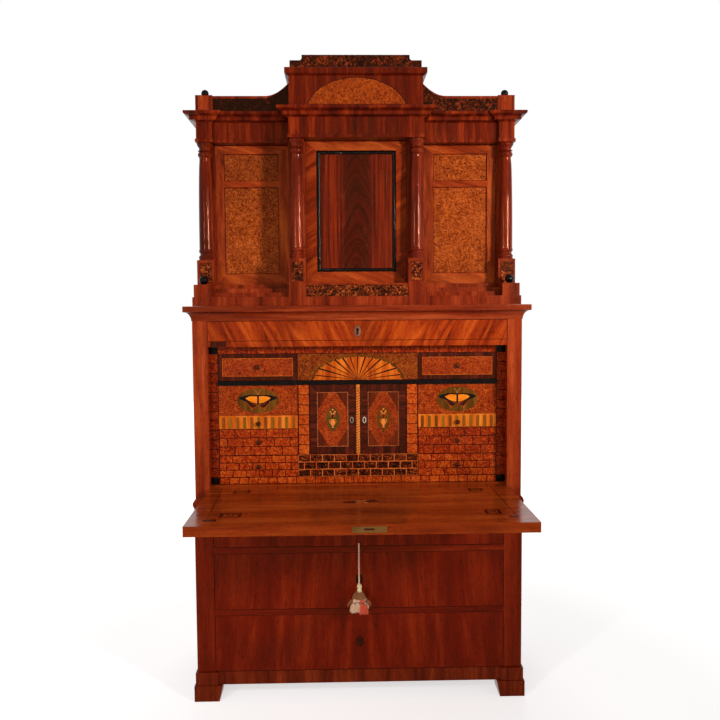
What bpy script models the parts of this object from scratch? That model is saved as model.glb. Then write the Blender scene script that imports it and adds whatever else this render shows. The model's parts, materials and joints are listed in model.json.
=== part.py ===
"""Fall-front secretaire: a chest of three drawers, a fitted writing interior, a temple-front cabinet on top.

Metres, +Z up. The front looks along -Y and X is the width. The origin is on the floor, in the middle
of the room that the piece takes up with its writing flap open.
"""

from math import cos, pi, radians, sin, sqrt

import bmesh
import bpy
from mathutils import Matrix, Vector

# Clearances
TOUCH = 0.0003          # between fixed pieces that touch
RUN = 0.0005            # round a drawer's body in its case
FRONT_GAP = 0.0008      # round a drawer front, a door or the flap in its opening
DOOR_EDGE_GAP = 0.0015  # at a door's free edge, whose back corner swings wide
OVERRUN = 0.010         # how far a cutter runs past the face that it opens
ROOT = 0.003            # how far a fused piece is sunk into what carries it
ARRIS = 0.0010          # height of the small slope where a moulding changes sharply

# The chest, by widths and depths
CASE_DEPTH = 0.550      # stile fronts to the back
LOWER_HALF = 0.5772     # half the width over the stiles beside the drawers
WAIST_STEP = 0.0051     # how much narrower each side is beside the flap
UPPER_STILE = 0.0506    # face width of a stile beside the flap
LOWER_STILE = 0.0642    # face width of a stile beside the drawers
STILE_THICK = 0.030
SIDE_PANEL = 0.0251     # thickness of the side behind the stile
BACK_THICK = 0.018
BOARD_THICK = 0.016     # floor board of the chest
BACK_PANEL_SINK = 0.006
BACK_FRAME = 0.090      # width of the back's frame round its sunk panels

# The chest, from the floor up
FOOT_HEIGHT = 0.0565
PLINTH_HEIGHT = 0.0468
BOTTOM_DRAWER_HEIGHT = 0.2037
LOWER_RAIL = 0.0192
MIDDLE_DRAWER_HEIGHT = 0.2030
UPPER_RAIL = 0.0215
TOP_DRAWER_HEIGHT = 0.1613
WAIST_RAIL = 0.0200
FLAP_SWEEP = 0.0020     # room round the flap's rounded inner edge as it turns
FLAP_THICK = 0.0310
OPENING_HEIGHT = 0.4935
FRIEZE_RAIL = 0.0194
FRIEZE_DRAWER_HEIGHT = 0.0708
COVE_HEIGHT = 0.0314
SLAB_HEIGHT = 0.0194

# Feet, plinth and waist
FOOT_SIDE = 0.0050      # beyond the plinth's corner block
FOOT_WIDTH = 0.1000     # at the top
FOOT_TAPER = 0.0117     # drawn in on the inner side at the floor
FOOT_DEPTH = 0.0900
FOOT_PROUD = 0.0120     # in front of the stiles
BLOCK_SIDE = 0.0058     # beyond the stiles beside the drawers
BLOCK_WIDTH = 0.0795
BLOCK_DEPTH = 0.0800
BLOCK_PROUD = 0.0080
PLINTH_RAIL = 0.0450    # thickness of the plinth's rails
BOARD_LIP = 0.0150      # ledge in the plinth that carries the floor board
BAND_HEIGHT = 0.0360    # half-round band at the waist
BAND_DROP = 0.0070      # the band's top below the flap
BAND_SIDE = 0.0075
BAND_FRONT = 0.0050

# Cornice between the chest and the upper cabinet
LEDGE_SIDE = 0.0264
LEDGE_FRONT = 0.0298
COVE_START = 0.0020
COVE_LIP = 0.0040

# Flap
FLAP_ROUND = 0.0120     # radius of its two inner edges
PIN_RADIUS = 0.0040
PIN_LENGTH = 0.0090
PIN_CLEAR = 0.0003
LOCK_PLATE_WIDTH = 0.1006
LOCK_PLATE_HEIGHT = 0.0188
LOCK_PLATE_THICK = 0.0015
LOCK_PLATE_X = 0.0200
LOCK_SLOT_WIDTH = 0.0300
LOCK_SLOT_HEIGHT = 0.0060

# Drawers of the chest
DRAWER_FRONT_THICK = 0.0220
DRAWER_WALL = 0.0120
DRAWER_FLOOR = 0.0080
DRAWER_TOP_DROP = 0.0080   # the sides stand this much lower than the front
DRAWER_REAR_ROOM = 0.0405  # behind the drawers
DRAWER_SET_BACK = 0.0015   # fronts behind the stiles

# Gallery: its columns, from the middle out
GALLERY_SET_BACK = 0.0570
GALLERY_REAR_ROOM = 0.0750  # between the gallery and the back
MULLION_WIDTH = 0.0130
CUPBOARD_WIDTH = 0.1650
PARTITION_WIDTH = 0.0430
SIDE_STRIP = 0.0525        # brick strip between the outer drawers and the case
GALLERY_FRONT_THICK = 0.0140
GALLERY_DOOR_THICK = 0.0160
GALLERY_WALL = 0.0080
GALLERY_DRAWER_WALL = 0.0060
GALLERY_DRAWER_FLOOR = 0.0040
GALLERY_DRAWER_DROP = 0.0040
GALLERY_DRAWER_REAR = 0.0400  # from a pocket's end to the gallery's back
GALLERY_LAP = 0.0040       # how far a front or a door laps its opening
CUPBOARD_REAR = 0.1000     # the same, behind the cupboards
KNOB_RADIUS = 0.0080
KNOB_REACH = 0.0140

# Gallery: its rows, from the writing surface up
BOTTOM_STRIP = 0.0243
BRICK_LOW_HEIGHT = 0.0785
BRICK_HIGH_HEIGHT = 0.0952
MOULDING_HEIGHT = 0.0155
TOP_ROW_HEIGHT = 0.0960
TOP_STRIP = 0.0275
FLUTE_KNOB_RISE = 0.01925  # the butterfly drawer's knob above the drawer's lower edge
CENTRE_DRAWER_HEIGHT = 0.0797
FAN_FRONT_THICK = 0.0180
MOULDING_PROUD = 0.0100
CENTRE_MOULDING_PROUD = 0.0075
CENTRE_MOULDING_DROP = 0.0020

# Upper cabinet: planes behind the stiles' front
BASE_SET_BACK = 0.0100
DOOR_SET_BACK = 0.0700
OUTER_SET_BACK = 0.0850
FRIEZE_SET_BACK = 0.1000
SIDE_DOOR_SET_BACK = 0.1450

# Upper cabinet: heights
BASE_BAND_HEIGHT = 0.0316
DECK_RISE = 0.0451
STEP_COUNT = 3
PEDESTAL_HEIGHT = 0.1314
CORNER_BLOCK_HEIGHT = 0.0432
COLUMN_HEIGHT = 0.4110

# Upper cabinet: widths
BASE_INSET = 0.0009       # inside the stiles beside the flap
PEDESTAL_WIDTH = 0.0600
INNER_PEDESTAL_OUTER = 0.2375
PEDESTAL_INSET = 0.0057   # outer pedestals inside the base's ends
CASE_INSET = 0.0050       # the case inside the outer pedestals
UPPER_WALL = 0.0180
UPPER_DOOR_THICK = 0.0220
UPPER_LAP = 0.0045
UPPER_BOARD_OVER_DRAWER = 0.0050
UPPER_DRAWER_REAR = 0.2500  # from the small drawer's end to the back
SMALL_DRAWER_SET_BACK = 0.0020

# Door fields
SIDE_DOOR_OUTER_STILE = 0.0300
SIDE_DOOR_INNER_STILE = 0.0400
SIDE_DOOR_BOTTOM_RAIL = 0.0380
SIDE_DOOR_TOP_RAIL = 0.0290
SIDE_DOOR_LOWER_FIELD = 0.3100
SIDE_DOOR_MID_RAIL = 0.0216
CENTRE_DOOR_STILE = 0.0367
CENTRE_DOOR_BOTTOM_RAIL = 0.0415
CENTRE_DOOR_TOP_RAIL = 0.0312
FIELD_SINK = 0.0060

# Columns and balls
SHAFT_RADIUS = 0.0250
NECK_RADIUS = 0.0180
COLUMN_FOOT_RADIUS = 0.0280
COLUMN_BASE_HEIGHT = 0.0380
CAPITAL_HEIGHT = 0.0510
CAPITAL_RADIUS = 0.0270
BALL_RADIUS = 0.0155
BALL_FOOT_RADIUS = 0.0070
BALL_FOOT_HEIGHT = 0.0015
BALL_FROM_FRONT = 0.0300
FINIAL_RADIUS = 0.0135
FINIAL_FOOT_RADIUS = 0.0110
FINIAL_FOOT_HEIGHT = 0.0040

# Entablature
ENTABLATURE_HEIGHT = 0.1015
ARCHITRAVE_HEIGHT = 0.0125
ARCHITRAVE_PROUD = 0.0035
FRIEZE_HEIGHT = 0.0535
BED_HEIGHT = 0.0080
CORONA_HEIGHT = 0.0100
CORONA_PROUD = 0.0195
CYMA_HEIGHT = 0.0090
CORNICE_PROUD = 0.0370
OUTER_FRIEZE_WIDTH = 0.0556
CENTRE_FRIEZE_INSET = 0.0046  # inside the inner pedestals
TRAY_FLOOR = 0.0180
TRAY_EDGE = 0.0350
TRAY_RIM = 0.1200       # between the frieze's front and the sunk top

# Crest
ATTIC_INSET = 0.0011      # inside the centre frieze
ATTIC_SET_BACK = 0.0350
ATTIC_DEPTH = 0.1500
ATTIC_HEIGHT = 0.1107
ATTIC_CORNICE_HEIGHT = 0.0274
ATTIC_CORNICE_PROUD = 0.0135
ATTIC_BED_HEIGHT = 0.0090
CREST_INSET = 0.0034      # inside the attic
CREST_STEP = 0.0418       # the upper tier inside the lower one
CREST_STEP_HEIGHT = 0.0305
CREST_COVE = 0.0090
CREST_HEIGHT = 0.0490
CREST_SET_BACK = 0.0150   # behind the attic's front
TOP_BLOCK_SIDE = 0.0028   # beyond the upper case
TOP_BLOCK_WIDTH = 0.0605
TOP_BLOCK_HEIGHT = 0.0640
SCROLL_THICK = 0.0200
SCROLL_LOW = 0.0615
SCROLL_HIGH = 0.1100
SCROLL_LEVEL_SHARE = 0.66  # of the panel's length, from the corner block, that is level
SCROLL_CURVE = 1.2        # more makes the sweep to the attic start later

# Key, ring, cord and tassel
KEY_RISE = 0.0613       # above the rail under the top drawer
KEY_OUT = 0.0450        # bow and ring in front of the stiles
KEY_SHANK_RADIUS = 0.0027
KEY_HOLE_RADIUS = 0.0032
KEY_HOLE_DEPTH = 0.0150
KEY_BOW_RADIUS = 0.0110
KEY_BOW_WIRE = 0.0022
RING_RADIUS = 0.0140
RING_WIRE = 0.0012
RING_X = 0.0030
CORD_X = -0.0026
CORD_RADIUS = 0.0030
TASSEL_DROP = 0.1820    # from the key down to the tassel's knots
TASSEL_LENGTH = 0.1095
TASSEL_HALF_WIDTH = 0.0400
TASSEL_HALF_DEPTH = 0.0270
# shares down the tassel, of its half-width and of its half-depth: knots, head, skirt
TASSEL_SHARES = (
    (0.00, 0.08, 0.12), (0.03, 0.19, 0.28), (0.09, 0.21, 0.31), (0.13, 0.11, 0.16),
    (0.17, 0.20, 0.29), (0.22, 0.22, 0.32), (0.27, 0.20, 0.30), (0.36, 0.44, 0.60),
    (0.45, 0.57, 0.72), (0.52, 0.66, 0.80), (0.75, 0.96, 1.00), (0.93, 1.00, 0.98), (1.00, 0.90, 0.85))

# Roundness
TURNED_STEPS = 20
SMALL_STEPS = 12
ARC_STEPS = 5

# Heights that follow
PLINTH_TOP = FOOT_HEIGHT + PLINTH_HEIGHT
LOWER_RAIL_LOW = PLINTH_TOP + BOTTOM_DRAWER_HEIGHT
LOWER_RAIL_TOP = LOWER_RAIL_LOW + LOWER_RAIL
UPPER_RAIL_LOW = LOWER_RAIL_TOP + MIDDLE_DRAWER_HEIGHT
UPPER_RAIL_TOP = UPPER_RAIL_LOW + UPPER_RAIL
KEY_HEIGHT = UPPER_RAIL_TOP + KEY_RISE
TASSEL_TOP = KEY_HEIGHT - TASSEL_DROP
TASSEL_BOTTOM = TASSEL_TOP - TASSEL_LENGTH
WAIST_LOW = UPPER_RAIL_TOP + TOP_DRAWER_HEIGHT
WAIST_TOP = WAIST_LOW + WAIST_RAIL
FLAP_BOTTOM = WAIST_TOP + FLAP_SWEEP
WRITING_TOP = FLAP_BOTTOM + FLAP_THICK
OPENING_TOP = WRITING_TOP + OPENING_HEIGHT
FRIEZE_FLOOR = OPENING_TOP + FRIEZE_RAIL
CASE_TOP = FRIEZE_FLOOR + FRIEZE_DRAWER_HEIGHT
LEDGE_TOP = CASE_TOP + COVE_HEIGHT + SLAB_HEIGHT
BAND_TOP = LEDGE_TOP + BASE_BAND_HEIGHT
DECK_TOP = BAND_TOP + DECK_RISE
PEDESTAL_TOP = BAND_TOP + PEDESTAL_HEIGHT
SOFFIT = PEDESTAL_TOP + COLUMN_HEIGHT
CORNICE_TOP = SOFFIT + ENTABLATURE_HEIGHT
ATTIC_TOP = CORNICE_TOP + ATTIC_HEIGHT + ATTIC_CORNICE_HEIGHT

# Widths and depths that follow
UPPER_HALF = LOWER_HALF - WAIST_STEP
BLOCK_OUTER = LOWER_HALF + BLOCK_SIDE
FOOT_OUTER = BLOCK_OUTER + FOOT_SIDE
PANEL_INNER = UPPER_HALF - SIDE_PANEL
OPENING_HALF = UPPER_HALF - UPPER_STILE
DRAWER_HALF = LOWER_HALF - LOWER_STILE
FLAP_LENGTH = FLAP_THICK + OPENING_HEIGHT - FRONT_GAP
FLAP_REACH = FLAP_LENGTH - FLAP_THICK
FRONT = (FLAP_REACH - CASE_DEPTH) / 2
BACK = FRONT + CASE_DEPTH
BOARD_BACK = BACK - BACK_THICK - TOUCH
DRAWER_LENGTH = CASE_DEPTH - BACK_THICK - DRAWER_REAR_ROOM - DRAWER_SET_BACK
GALLERY_DEPTH = CASE_DEPTH - BACK_THICK - GALLERY_REAR_ROOM - GALLERY_SET_BACK
GALLERY_DRAWER_LENGTH = GALLERY_DEPTH - GALLERY_DRAWER_REAR
CUPBOARD_DEPTH = GALLERY_DEPTH - CUPBOARD_REAR
UPPER_DRAWER_LENGTH = CASE_DEPTH - UPPER_DRAWER_REAR
CREST_DEPTH = ATTIC_DEPTH - 2 * CREST_SET_BACK
BED_FRONT = FRONT + FLAP_THICK + FLAP_SWEEP
PIVOT = Vector((0, FRONT + FLAP_THICK / 2, FLAP_BOTTOM + FLAP_THICK / 2))
GALLERY_FRONT = FRONT + GALLERY_SET_BACK
MULLION_HALF = MULLION_WIDTH / 2
CUPBOARD_OUTER = MULLION_HALF + CUPBOARD_WIDTH
CENTRE_HALF = CUPBOARD_OUTER + PARTITION_WIDTH
COLUMN_OUTER = PANEL_INNER - SIDE_STRIP
BRICK_LOW = WRITING_TOP + BOTTOM_STRIP
BRICK_HIGH = BRICK_LOW + BRICK_LOW_HEIGHT
BUTTERFLY_LOW = BRICK_HIGH + BRICK_HIGH_HEIGHT
TOP_ROW_TOP = OPENING_TOP - TOP_STRIP
TOP_ROW_LOW = TOP_ROW_TOP - TOP_ROW_HEIGHT
MOULDING_LOW = TOP_ROW_LOW - MOULDING_HEIGHT
FLUTE_KNOB_DROP = (MOULDING_LOW - BUTTERFLY_LOW) / 2 - FLUTE_KNOB_RISE
CUPBOARD_LOW = BRICK_LOW + CENTRE_DRAWER_HEIGHT
BASE_FRONT = FRONT + BASE_SET_BACK
DOOR_FRONT = FRONT + DOOR_SET_BACK
OUTER_FRONT = FRONT + OUTER_SET_BACK
FRIEZE_FRONT = FRONT + FRIEZE_SET_BACK
SIDE_DOOR_FRONT = FRONT + SIDE_DOOR_SET_BACK
BASE_HALF = UPPER_HALF - BASE_INSET
OUTER_PEDESTAL_OUTER = BASE_HALF - PEDESTAL_INSET
UPPER_CASE_HALF = OUTER_PEDESTAL_OUTER - CASE_INSET
TOP_BLOCK_OUTER = UPPER_CASE_HALF + TOP_BLOCK_SIDE
CENTRE_FRIEZE_HALF = INNER_PEDESTAL_OUTER - CENTRE_FRIEZE_INSET
ATTIC_HALF = CENTRE_FRIEZE_HALF - ATTIC_INSET
CREST_HALF = ATTIC_HALF - CREST_INSET
CREST_UPPER_HALF = CREST_HALF - CREST_STEP
INNER_PEDESTAL_INNER = INNER_PEDESTAL_OUTER - PEDESTAL_WIDTH
OUTER_PEDESTAL_INNER = OUTER_PEDESTAL_OUTER - PEDESTAL_WIDTH
CENTRE_DOOR_HALF = INNER_PEDESTAL_INNER - FRONT_GAP
SIDE_DOOR_INNER = INNER_PEDESTAL_OUTER + DOOR_EDGE_GAP
SIDE_DOOR_OUTER = OUTER_PEDESTAL_INNER - 2 * FRONT_GAP
UPPER_DOOR_LOW = DECK_TOP + FRONT_GAP
UPPER_DOOR_TOP = SOFFIT - 2 * FRONT_GAP
SMALL_DRAWER_TOP = DECK_TOP - UPPER_BOARD_OVER_DRAWER

for old in list(bpy.data.objects):
    bpy.data.objects.remove(old)
PARTS = bpy.data.collections.new("fall_front_secretaire")
CUTTERS = bpy.data.collections.new("cutters")
bpy.context.scene.collection.children.link(PARTS)
bpy.context.scene.collection.children.link(CUTTERS)


# Materials
def material(name, colour, roughness, metallic=0.0):
    """A plain Principled material."""
    made = bpy.data.materials.new(name)
    made.use_nodes = True
    shader = made.node_tree.nodes["Principled BSDF"]
    shader.inputs["Base Color"].default_value = (*colour, 1)
    shader.inputs["Roughness"].default_value = roughness
    shader.inputs["Metallic"].default_value = metallic
    return made


MAHOGANY = material("mahogany", (0.300, 0.072, 0.022), 0.22)
DRAWER_MAHOGANY = material("drawer_mahogany", (0.200, 0.036, 0.013), 0.22)
FLAP_MAHOGANY = material("flap_mahogany", (0.430, 0.140, 0.035), 0.15)
BRICK_BURL = material("brick_burl", (0.400, 0.100, 0.025), 0.25)
SATINWOOD = material("satinwood", (0.640, 0.260, 0.050), 0.25)
DARK_BURL = material("dark_burl", (0.120, 0.030, 0.012), 0.25)
EBONISED = material("ebonised", (0.012, 0.009, 0.008), 0.15)
OAK = material("oak_carcase", (0.330, 0.180, 0.080), 0.60)
BRASS = material("brass", (0.420, 0.300, 0.120), 0.35, 1.0)
STEEL = material("dark_steel", (0.120, 0.110, 0.100), 0.35, 1.0)
SILK = material("cream_silk", (0.720, 0.480, 0.330), 0.80)


# Shaping
def add(name, mesh, finish):
    """Put a mesh into the parts as an object of its own."""
    piece = bpy.data.objects.new(name, mesh)
    PARTS.objects.link(piece)
    if finish:
        mesh.materials.append(finish)
    return piece


def loft(name, rings, finish=None):
    """A closed solid through outlines that all have the same number of corners."""
    bm = bmesh.new()
    loops = [[bm.verts.new(corner) for corner in ring] for ring in rings]
    count = len(loops[0])
    for low, high in zip(loops, loops[1:]):
        for i in range(count):
            j = (i + 1) % count
            bm.faces.new((low[i], low[j], high[j], high[i]))
    bm.faces.new(list(reversed(loops[0])))
    bm.faces.new(loops[-1])
    bmesh.ops.recalc_face_normals(bm, faces=bm.faces)
    mesh = bpy.data.meshes.new(name)
    bm.to_mesh(mesh)
    bm.free()
    return add(name, mesh, finish)


def along_x(name, outline, low, high, finish=None):
    """A prism whose (y, z) outline runs along X."""
    return loft(name, [[(x, y, z) for y, z in outline] for x in (low, high)], finish)


def along_y(name, outline, low, high, finish=None):
    """A prism whose (x, z) outline runs along Y."""
    return loft(name, [[(x, y, z) for x, z in outline] for y in (low, high)], finish)


def along_z(name, outline, low, high, finish=None):
    """A prism whose (x, y) outline runs along Z."""
    return loft(name, [[(x, y, z) for x, y in outline] for z in (low, high)], finish)


def box(name, low, high, finish=None):
    """A box between two corners, given in any order."""
    low, high = Vector(map(min, low, high)), Vector(map(max, low, high))
    bm = bmesh.new()
    place = Matrix.Translation((low + high) / 2) @ Matrix.Diagonal((*(high - low), 1))
    bmesh.ops.create_cube(bm, size=1, matrix=place)
    mesh = bpy.data.meshes.new(name)
    bm.to_mesh(mesh)
    bm.free()
    return add(name, mesh, finish)


def rod(name, start, end, radius, finish=None):
    """A cylinder between two points."""
    start, end = Vector(start), Vector(end)
    turn = (end - start).to_track_quat("Z", "Y").to_matrix().to_4x4()
    bm = bmesh.new()
    bmesh.ops.create_cone(bm, cap_ends=True, segments=SMALL_STEPS, radius1=radius, radius2=radius,
                          depth=(end - start).length, matrix=Matrix.Translation((start + end) / 2) @ turn)
    mesh = bpy.data.meshes.new(name)
    bm.to_mesh(mesh)
    bm.free()
    return add(name, mesh, finish)


def turned(name, profile, place, finish=None, steps=TURNED_STEPS, closed=False):
    """A lathe-turned piece: (radius, height) points down its outer side, from a Screw modifier."""
    mesh = bpy.data.meshes.new(name)
    edges = [(i, i + 1) for i in range(len(profile) - 1)]
    if closed:
        edges.append((len(profile) - 1, 0))
    mesh.from_pydata([(r, 0, z) for r, z in profile], edges, [])
    piece = add(name, mesh, finish)
    screw = piece.modifiers.new("turned", "SCREW")
    screw.steps = screw.render_steps = steps
    screw.use_merge_vertices = True
    screw.merge_threshold = 0.0001
    screw.use_smooth_shade = True
    piece.matrix_world = place
    return piece


def stow(tool):
    """Keep a cutter, or a piece that is fused to another, as a hidden guide."""
    PARTS.objects.unlink(tool)
    CUTTERS.objects.link(tool)
    tool.hide_render = True
    tool.display_type = "WIRE"


def cut(piece, *tools):
    """Take the tools' shapes out of a piece."""
    for tool in tools:
        change = piece.modifiers.new(tool.name, "BOOLEAN")
        change.operation = "DIFFERENCE"
        change.solver = "EXACT"
        change.object = tool
        stow(tool)


def fuse(piece, *tools):
    """Join the tools' shapes to a piece."""
    for tool in tools:
        change = piece.modifiers.new(tool.name, "BOOLEAN")
        change.operation = "UNION"
        change.solver = "EXACT"
        change.object = tool
        stow(tool)


def move_origin(piece, point):
    """Put a piece's origin on its joint, with its shape where it was."""
    piece.data.transform(Matrix.Translation(-Vector(point)))
    piece.location = point


def arc(middle, radius, start, end, steps=ARC_STEPS):
    """Points of a circular arc, by angles in degrees."""
    for i in range(steps + 1):
        angle = radians(start + (end - start) * i / steps)
        yield middle[0] + radius * cos(angle), middle[1] + radius * sin(angle)


def facing_front(x, y, z):
    """The place of a turned piece whose top looks out of the front."""
    return Matrix.Translation((x, y, z)) @ Matrix.Rotation(radians(90), 4, "X")


SIDES = (("left", -1), ("right", 1))


# The chest
def feet():
    """Four tapered block feet under the plinth's corners."""
    top_inner = FOOT_OUTER - FOOT_WIDTH
    bottom_inner = top_inner + FOOT_TAPER
    places = (("front", FRONT - FOOT_PROUD), ("back", BACK - FOOT_DEPTH))
    for place, y in places:
        for side, s in SIDES:
            rings = [[(s * x, y, z), (s * FOOT_OUTER, y, z), (s * FOOT_OUTER, y + FOOT_DEPTH, z),
                      (s * x, y + FOOT_DEPTH, z)]
                     for x, z in ((bottom_inner, 0), (top_inner, FOOT_HEIGHT - TOUCH))]
            loft(f"foot_{place}_{side}", rings, MAHOGANY)


def plinth():
    """The frame under the chest, with corner blocks in front and the floor board in its rebate."""
    inner = BLOCK_OUTER - BLOCK_WIDTH
    front = FRONT - BLOCK_PROUD
    half = [(inner, FRONT), (inner, front), (BLOCK_OUTER, front), (BLOCK_OUTER, FRONT + BLOCK_DEPTH),
            (LOWER_HALF, FRONT + BLOCK_DEPTH), (LOWER_HALF, BACK)]
    outline = half + [(-x, y) for x, y in reversed(half)]
    frame = along_z("base_plinth", outline, FOOT_HEIGHT, PLINTH_TOP, MAHOGANY)
    wide, deep = LOWER_HALF - PLINTH_RAIL, FRONT + PLINTH_RAIL
    rebate = PLINTH_TOP - BOARD_THICK
    cut(frame,
        box("plinth_hole", (-wide, deep, FOOT_HEIGHT - OVERRUN),
            (wide, BACK - PLINTH_RAIL, PLINTH_TOP + OVERRUN)),
        box("plinth_rebate", (-wide - BOARD_LIP, deep - BOARD_LIP, rebate),
            (wide + BOARD_LIP, BACK - PLINTH_RAIL + BOARD_LIP, PLINTH_TOP + OVERRUN)))
    box("floor_board", (-wide - BOARD_LIP + TOUCH, deep - BOARD_LIP + TOUCH, rebate + TOUCH),
        (wide + BOARD_LIP - TOUCH, BACK - PLINTH_RAIL + BOARD_LIP - TOUCH, PLINTH_TOP - TOUCH), OAK)


def side_rings():
    """The side's outline at each height: a stile in front, with the half-round band at the waist."""
    def ring(z, outer, inner, proud):
        return [(x, y, z) for x, y in (
            (outer, FRONT - proud), (outer, BACK), (PANEL_INNER, BACK), (PANEL_INNER, FRONT + STILE_THICK),
            (inner, FRONT + STILE_THICK), (inner, FRONT - proud))]

    band_top = FLAP_BOTTOM - BAND_DROP
    band_low = band_top - BAND_HEIGHT
    rings = [ring(z, LOWER_HALF, DRAWER_HALF, 0) for z in (PLINTH_TOP + TOUCH, band_low)]
    for i in range(ARC_STEPS + 1):
        share = i / ARC_STEPS
        swell = sin(pi * share)
        outer = LOWER_HALF + (UPPER_HALF - LOWER_HALF) * share + BAND_SIDE * swell
        inner = DRAWER_HALF if i == 0 else OPENING_HALF
        z = band_low + ARRIS + (BAND_HEIGHT - ARRIS) * share
        rings.append(ring(z, outer, inner, BAND_FRONT * swell))
    rings.append(ring(CASE_TOP - TOUCH, UPPER_HALF, OPENING_HALF, 0))
    return rings


def sides():
    """The two sides, each one piece with its front stile and the socket of the flap's pin."""
    for side, s in SIDES:
        rings = [[(s * x, y, z) for x, y, z in ring] for ring in side_rings()]
        piece = loft(f"side_{side}", rings, MAHOGANY)
        start = PIVOT + Vector((s * (OPENING_HALF - OVERRUN), 0, 0))
        end = PIVOT + Vector((s * (OPENING_HALF + PIN_LENGTH + PIN_CLEAR), 0, 0))
        cut(piece, rod(f"pin_socket_{side}", start, end, PIN_RADIUS + PIN_CLEAR))


def back():
    """The back between the sides, with two sunk panels."""
    half = PANEL_INNER - TOUCH
    low, high = PLINTH_TOP + TOUCH, CASE_TOP - TOUCH
    piece = box("back_panel", (-half, BACK - BACK_THICK, low), (half, BACK, high), OAK)
    middle = (low + high) / 2
    for name, start, end in (("lower", low + BACK_FRAME, middle - BACK_FRAME / 2),
                             ("upper", middle + BACK_FRAME / 2, high - BACK_FRAME)):
        cut(piece, box(f"back_sink_{name}", (-half + BACK_FRAME, BACK - BACK_PANEL_SINK, start),
                       (half - BACK_FRAME, BACK + OVERRUN, end)))


def board_outline(half):
    """A board that fits between the stiles in front and between the side panels behind."""
    wide, narrow = PANEL_INNER - TOUCH, half - TOUCH
    behind = FRONT + STILE_THICK + TOUCH
    right = [(narrow, FRONT), (narrow, behind), (wide, behind), (wide, BOARD_BACK)]
    return right + [(-x, y) for x, y in reversed(right)]


def boards():
    """Dust boards between the drawers, the writing bed and the board under the frieze drawer."""
    along_z("dust_board_lower", board_outline(DRAWER_HALF), LOWER_RAIL_LOW, LOWER_RAIL_TOP, MAHOGANY)
    along_z("dust_board_upper", board_outline(DRAWER_HALF), UPPER_RAIL_LOW, UPPER_RAIL_TOP, MAHOGANY)
    along_z("frieze_board", board_outline(OPENING_HALF), OPENING_TOP, FRIEZE_FLOOR, MAHOGANY)
    bed = along_z("writing_bed", board_outline(OPENING_HALF), WAIST_LOW, WRITING_TOP, FLAP_MAHOGANY)
    cut(bed, box("bed_step", (-UPPER_HALF, FRONT - OVERRUN, WAIST_TOP),
                 (UPPER_HALF, BED_FRONT, WRITING_TOP + OVERRUN)))


def ledge():
    """The cornice of the chest: a cove under a slab, on the front and both sides."""
    def ring(z, share):
        side, front = UPPER_HALF + LEDGE_SIDE * share, FRONT - LEDGE_FRONT * share
        return [(-side, BACK, z), (-side, front, z), (side, front, z), (side, BACK, z)]

    reach = 1 - (COVE_START + COVE_LIP) / LEDGE_FRONT
    rings = []
    for i in range(ARC_STEPS + 1):
        angle = pi / 2 * i / ARC_STEPS
        rings.append(ring(CASE_TOP + (COVE_HEIGHT - ARRIS) * sin(angle),
                          COVE_START / LEDGE_FRONT + reach * (1 - cos(angle))))
    rings.append(ring(CASE_TOP + COVE_HEIGHT, 1))
    rings.append(ring(LEDGE_TOP - ARRIS, 1))
    rings.append(ring(LEDGE_TOP, 1 - ARRIS / LEDGE_FRONT))
    loft("waist_cornice", rings, MAHOGANY)


# Flap
def flap():
    """The writing flap, open, with rounded inner edges, side pins and the lock plate in its front edge."""
    inner, outer = FRONT + FLAP_THICK, FRONT - FLAP_REACH
    r = FLAP_ROUND
    outline = [(outer, WRITING_TOP), (outer, FLAP_BOTTOM)]
    outline += arc((inner - r, FLAP_BOTTOM + r), r, -90, 0)
    outline += arc((inner - r, WRITING_TOP - r), r, 0, 90)
    half = OPENING_HALF - FRONT_GAP
    piece = along_x("writing_flap", outline, -half, half, FLAP_MAHOGANY)
    for side, s in SIDES:
        fuse(piece, rod(f"flap_pin_{side}", PIVOT + Vector((s * (half - ROOT), 0, 0)),
                        PIVOT + Vector((s * (OPENING_HALF + PIN_LENGTH), 0, 0)), PIN_RADIUS))
    low, high = PIVOT.z - LOCK_PLATE_HEIGHT / 2, PIVOT.z + LOCK_PLATE_HEIGHT / 2
    left, right = LOCK_PLATE_X - LOCK_PLATE_WIDTH / 2, LOCK_PLATE_X + LOCK_PLATE_WIDTH / 2
    bed = outer + LOCK_PLATE_THICK + TOUCH
    cut(piece, box("lock_recess", (left - TOUCH, outer - OVERRUN, low - TOUCH),
                   (right + TOUCH, bed + TOUCH, high + TOUCH)))
    plate = box("lock_plate", (left, outer + TOUCH, low), (right, bed, high), BRASS)
    slot = LOCK_SLOT_WIDTH / 2, LOCK_SLOT_HEIGHT / 2
    cut(plate, box("lock_slot", (LOCK_PLATE_X - slot[0], outer - OVERRUN, PIVOT.z - slot[1]),
                   (LOCK_PLATE_X + slot[0], outer + OVERRUN, PIVOT.z + slot[1])))
    move_origin(piece, PIVOT)
    move_origin(plate, PIVOT)


# Drawers
def tray(name, half, low, high, front, length, walls, finish):
    """A drawer of one width: its front, its lower sides and back, and the hollow inside."""
    thick, wall, floor, drop = walls
    piece = box(name, (-half, front, low), (half, front + length, high), finish)
    cut(piece,
        box(f"{name}_trim", (-half - OVERRUN, front + thick, high - drop),
            (half + OVERRUN, front + length + OVERRUN, high + OVERRUN)),
        box(f"{name}_hollow", (-half + wall, front + thick, low + floor),
            (half - wall, front + length - wall, high + OVERRUN)))
    move_origin(piece, (0, front, (low + high) / 2))
    return piece


CHEST_WALLS = DRAWER_FRONT_THICK, DRAWER_WALL, DRAWER_FLOOR, DRAWER_TOP_DROP


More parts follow.
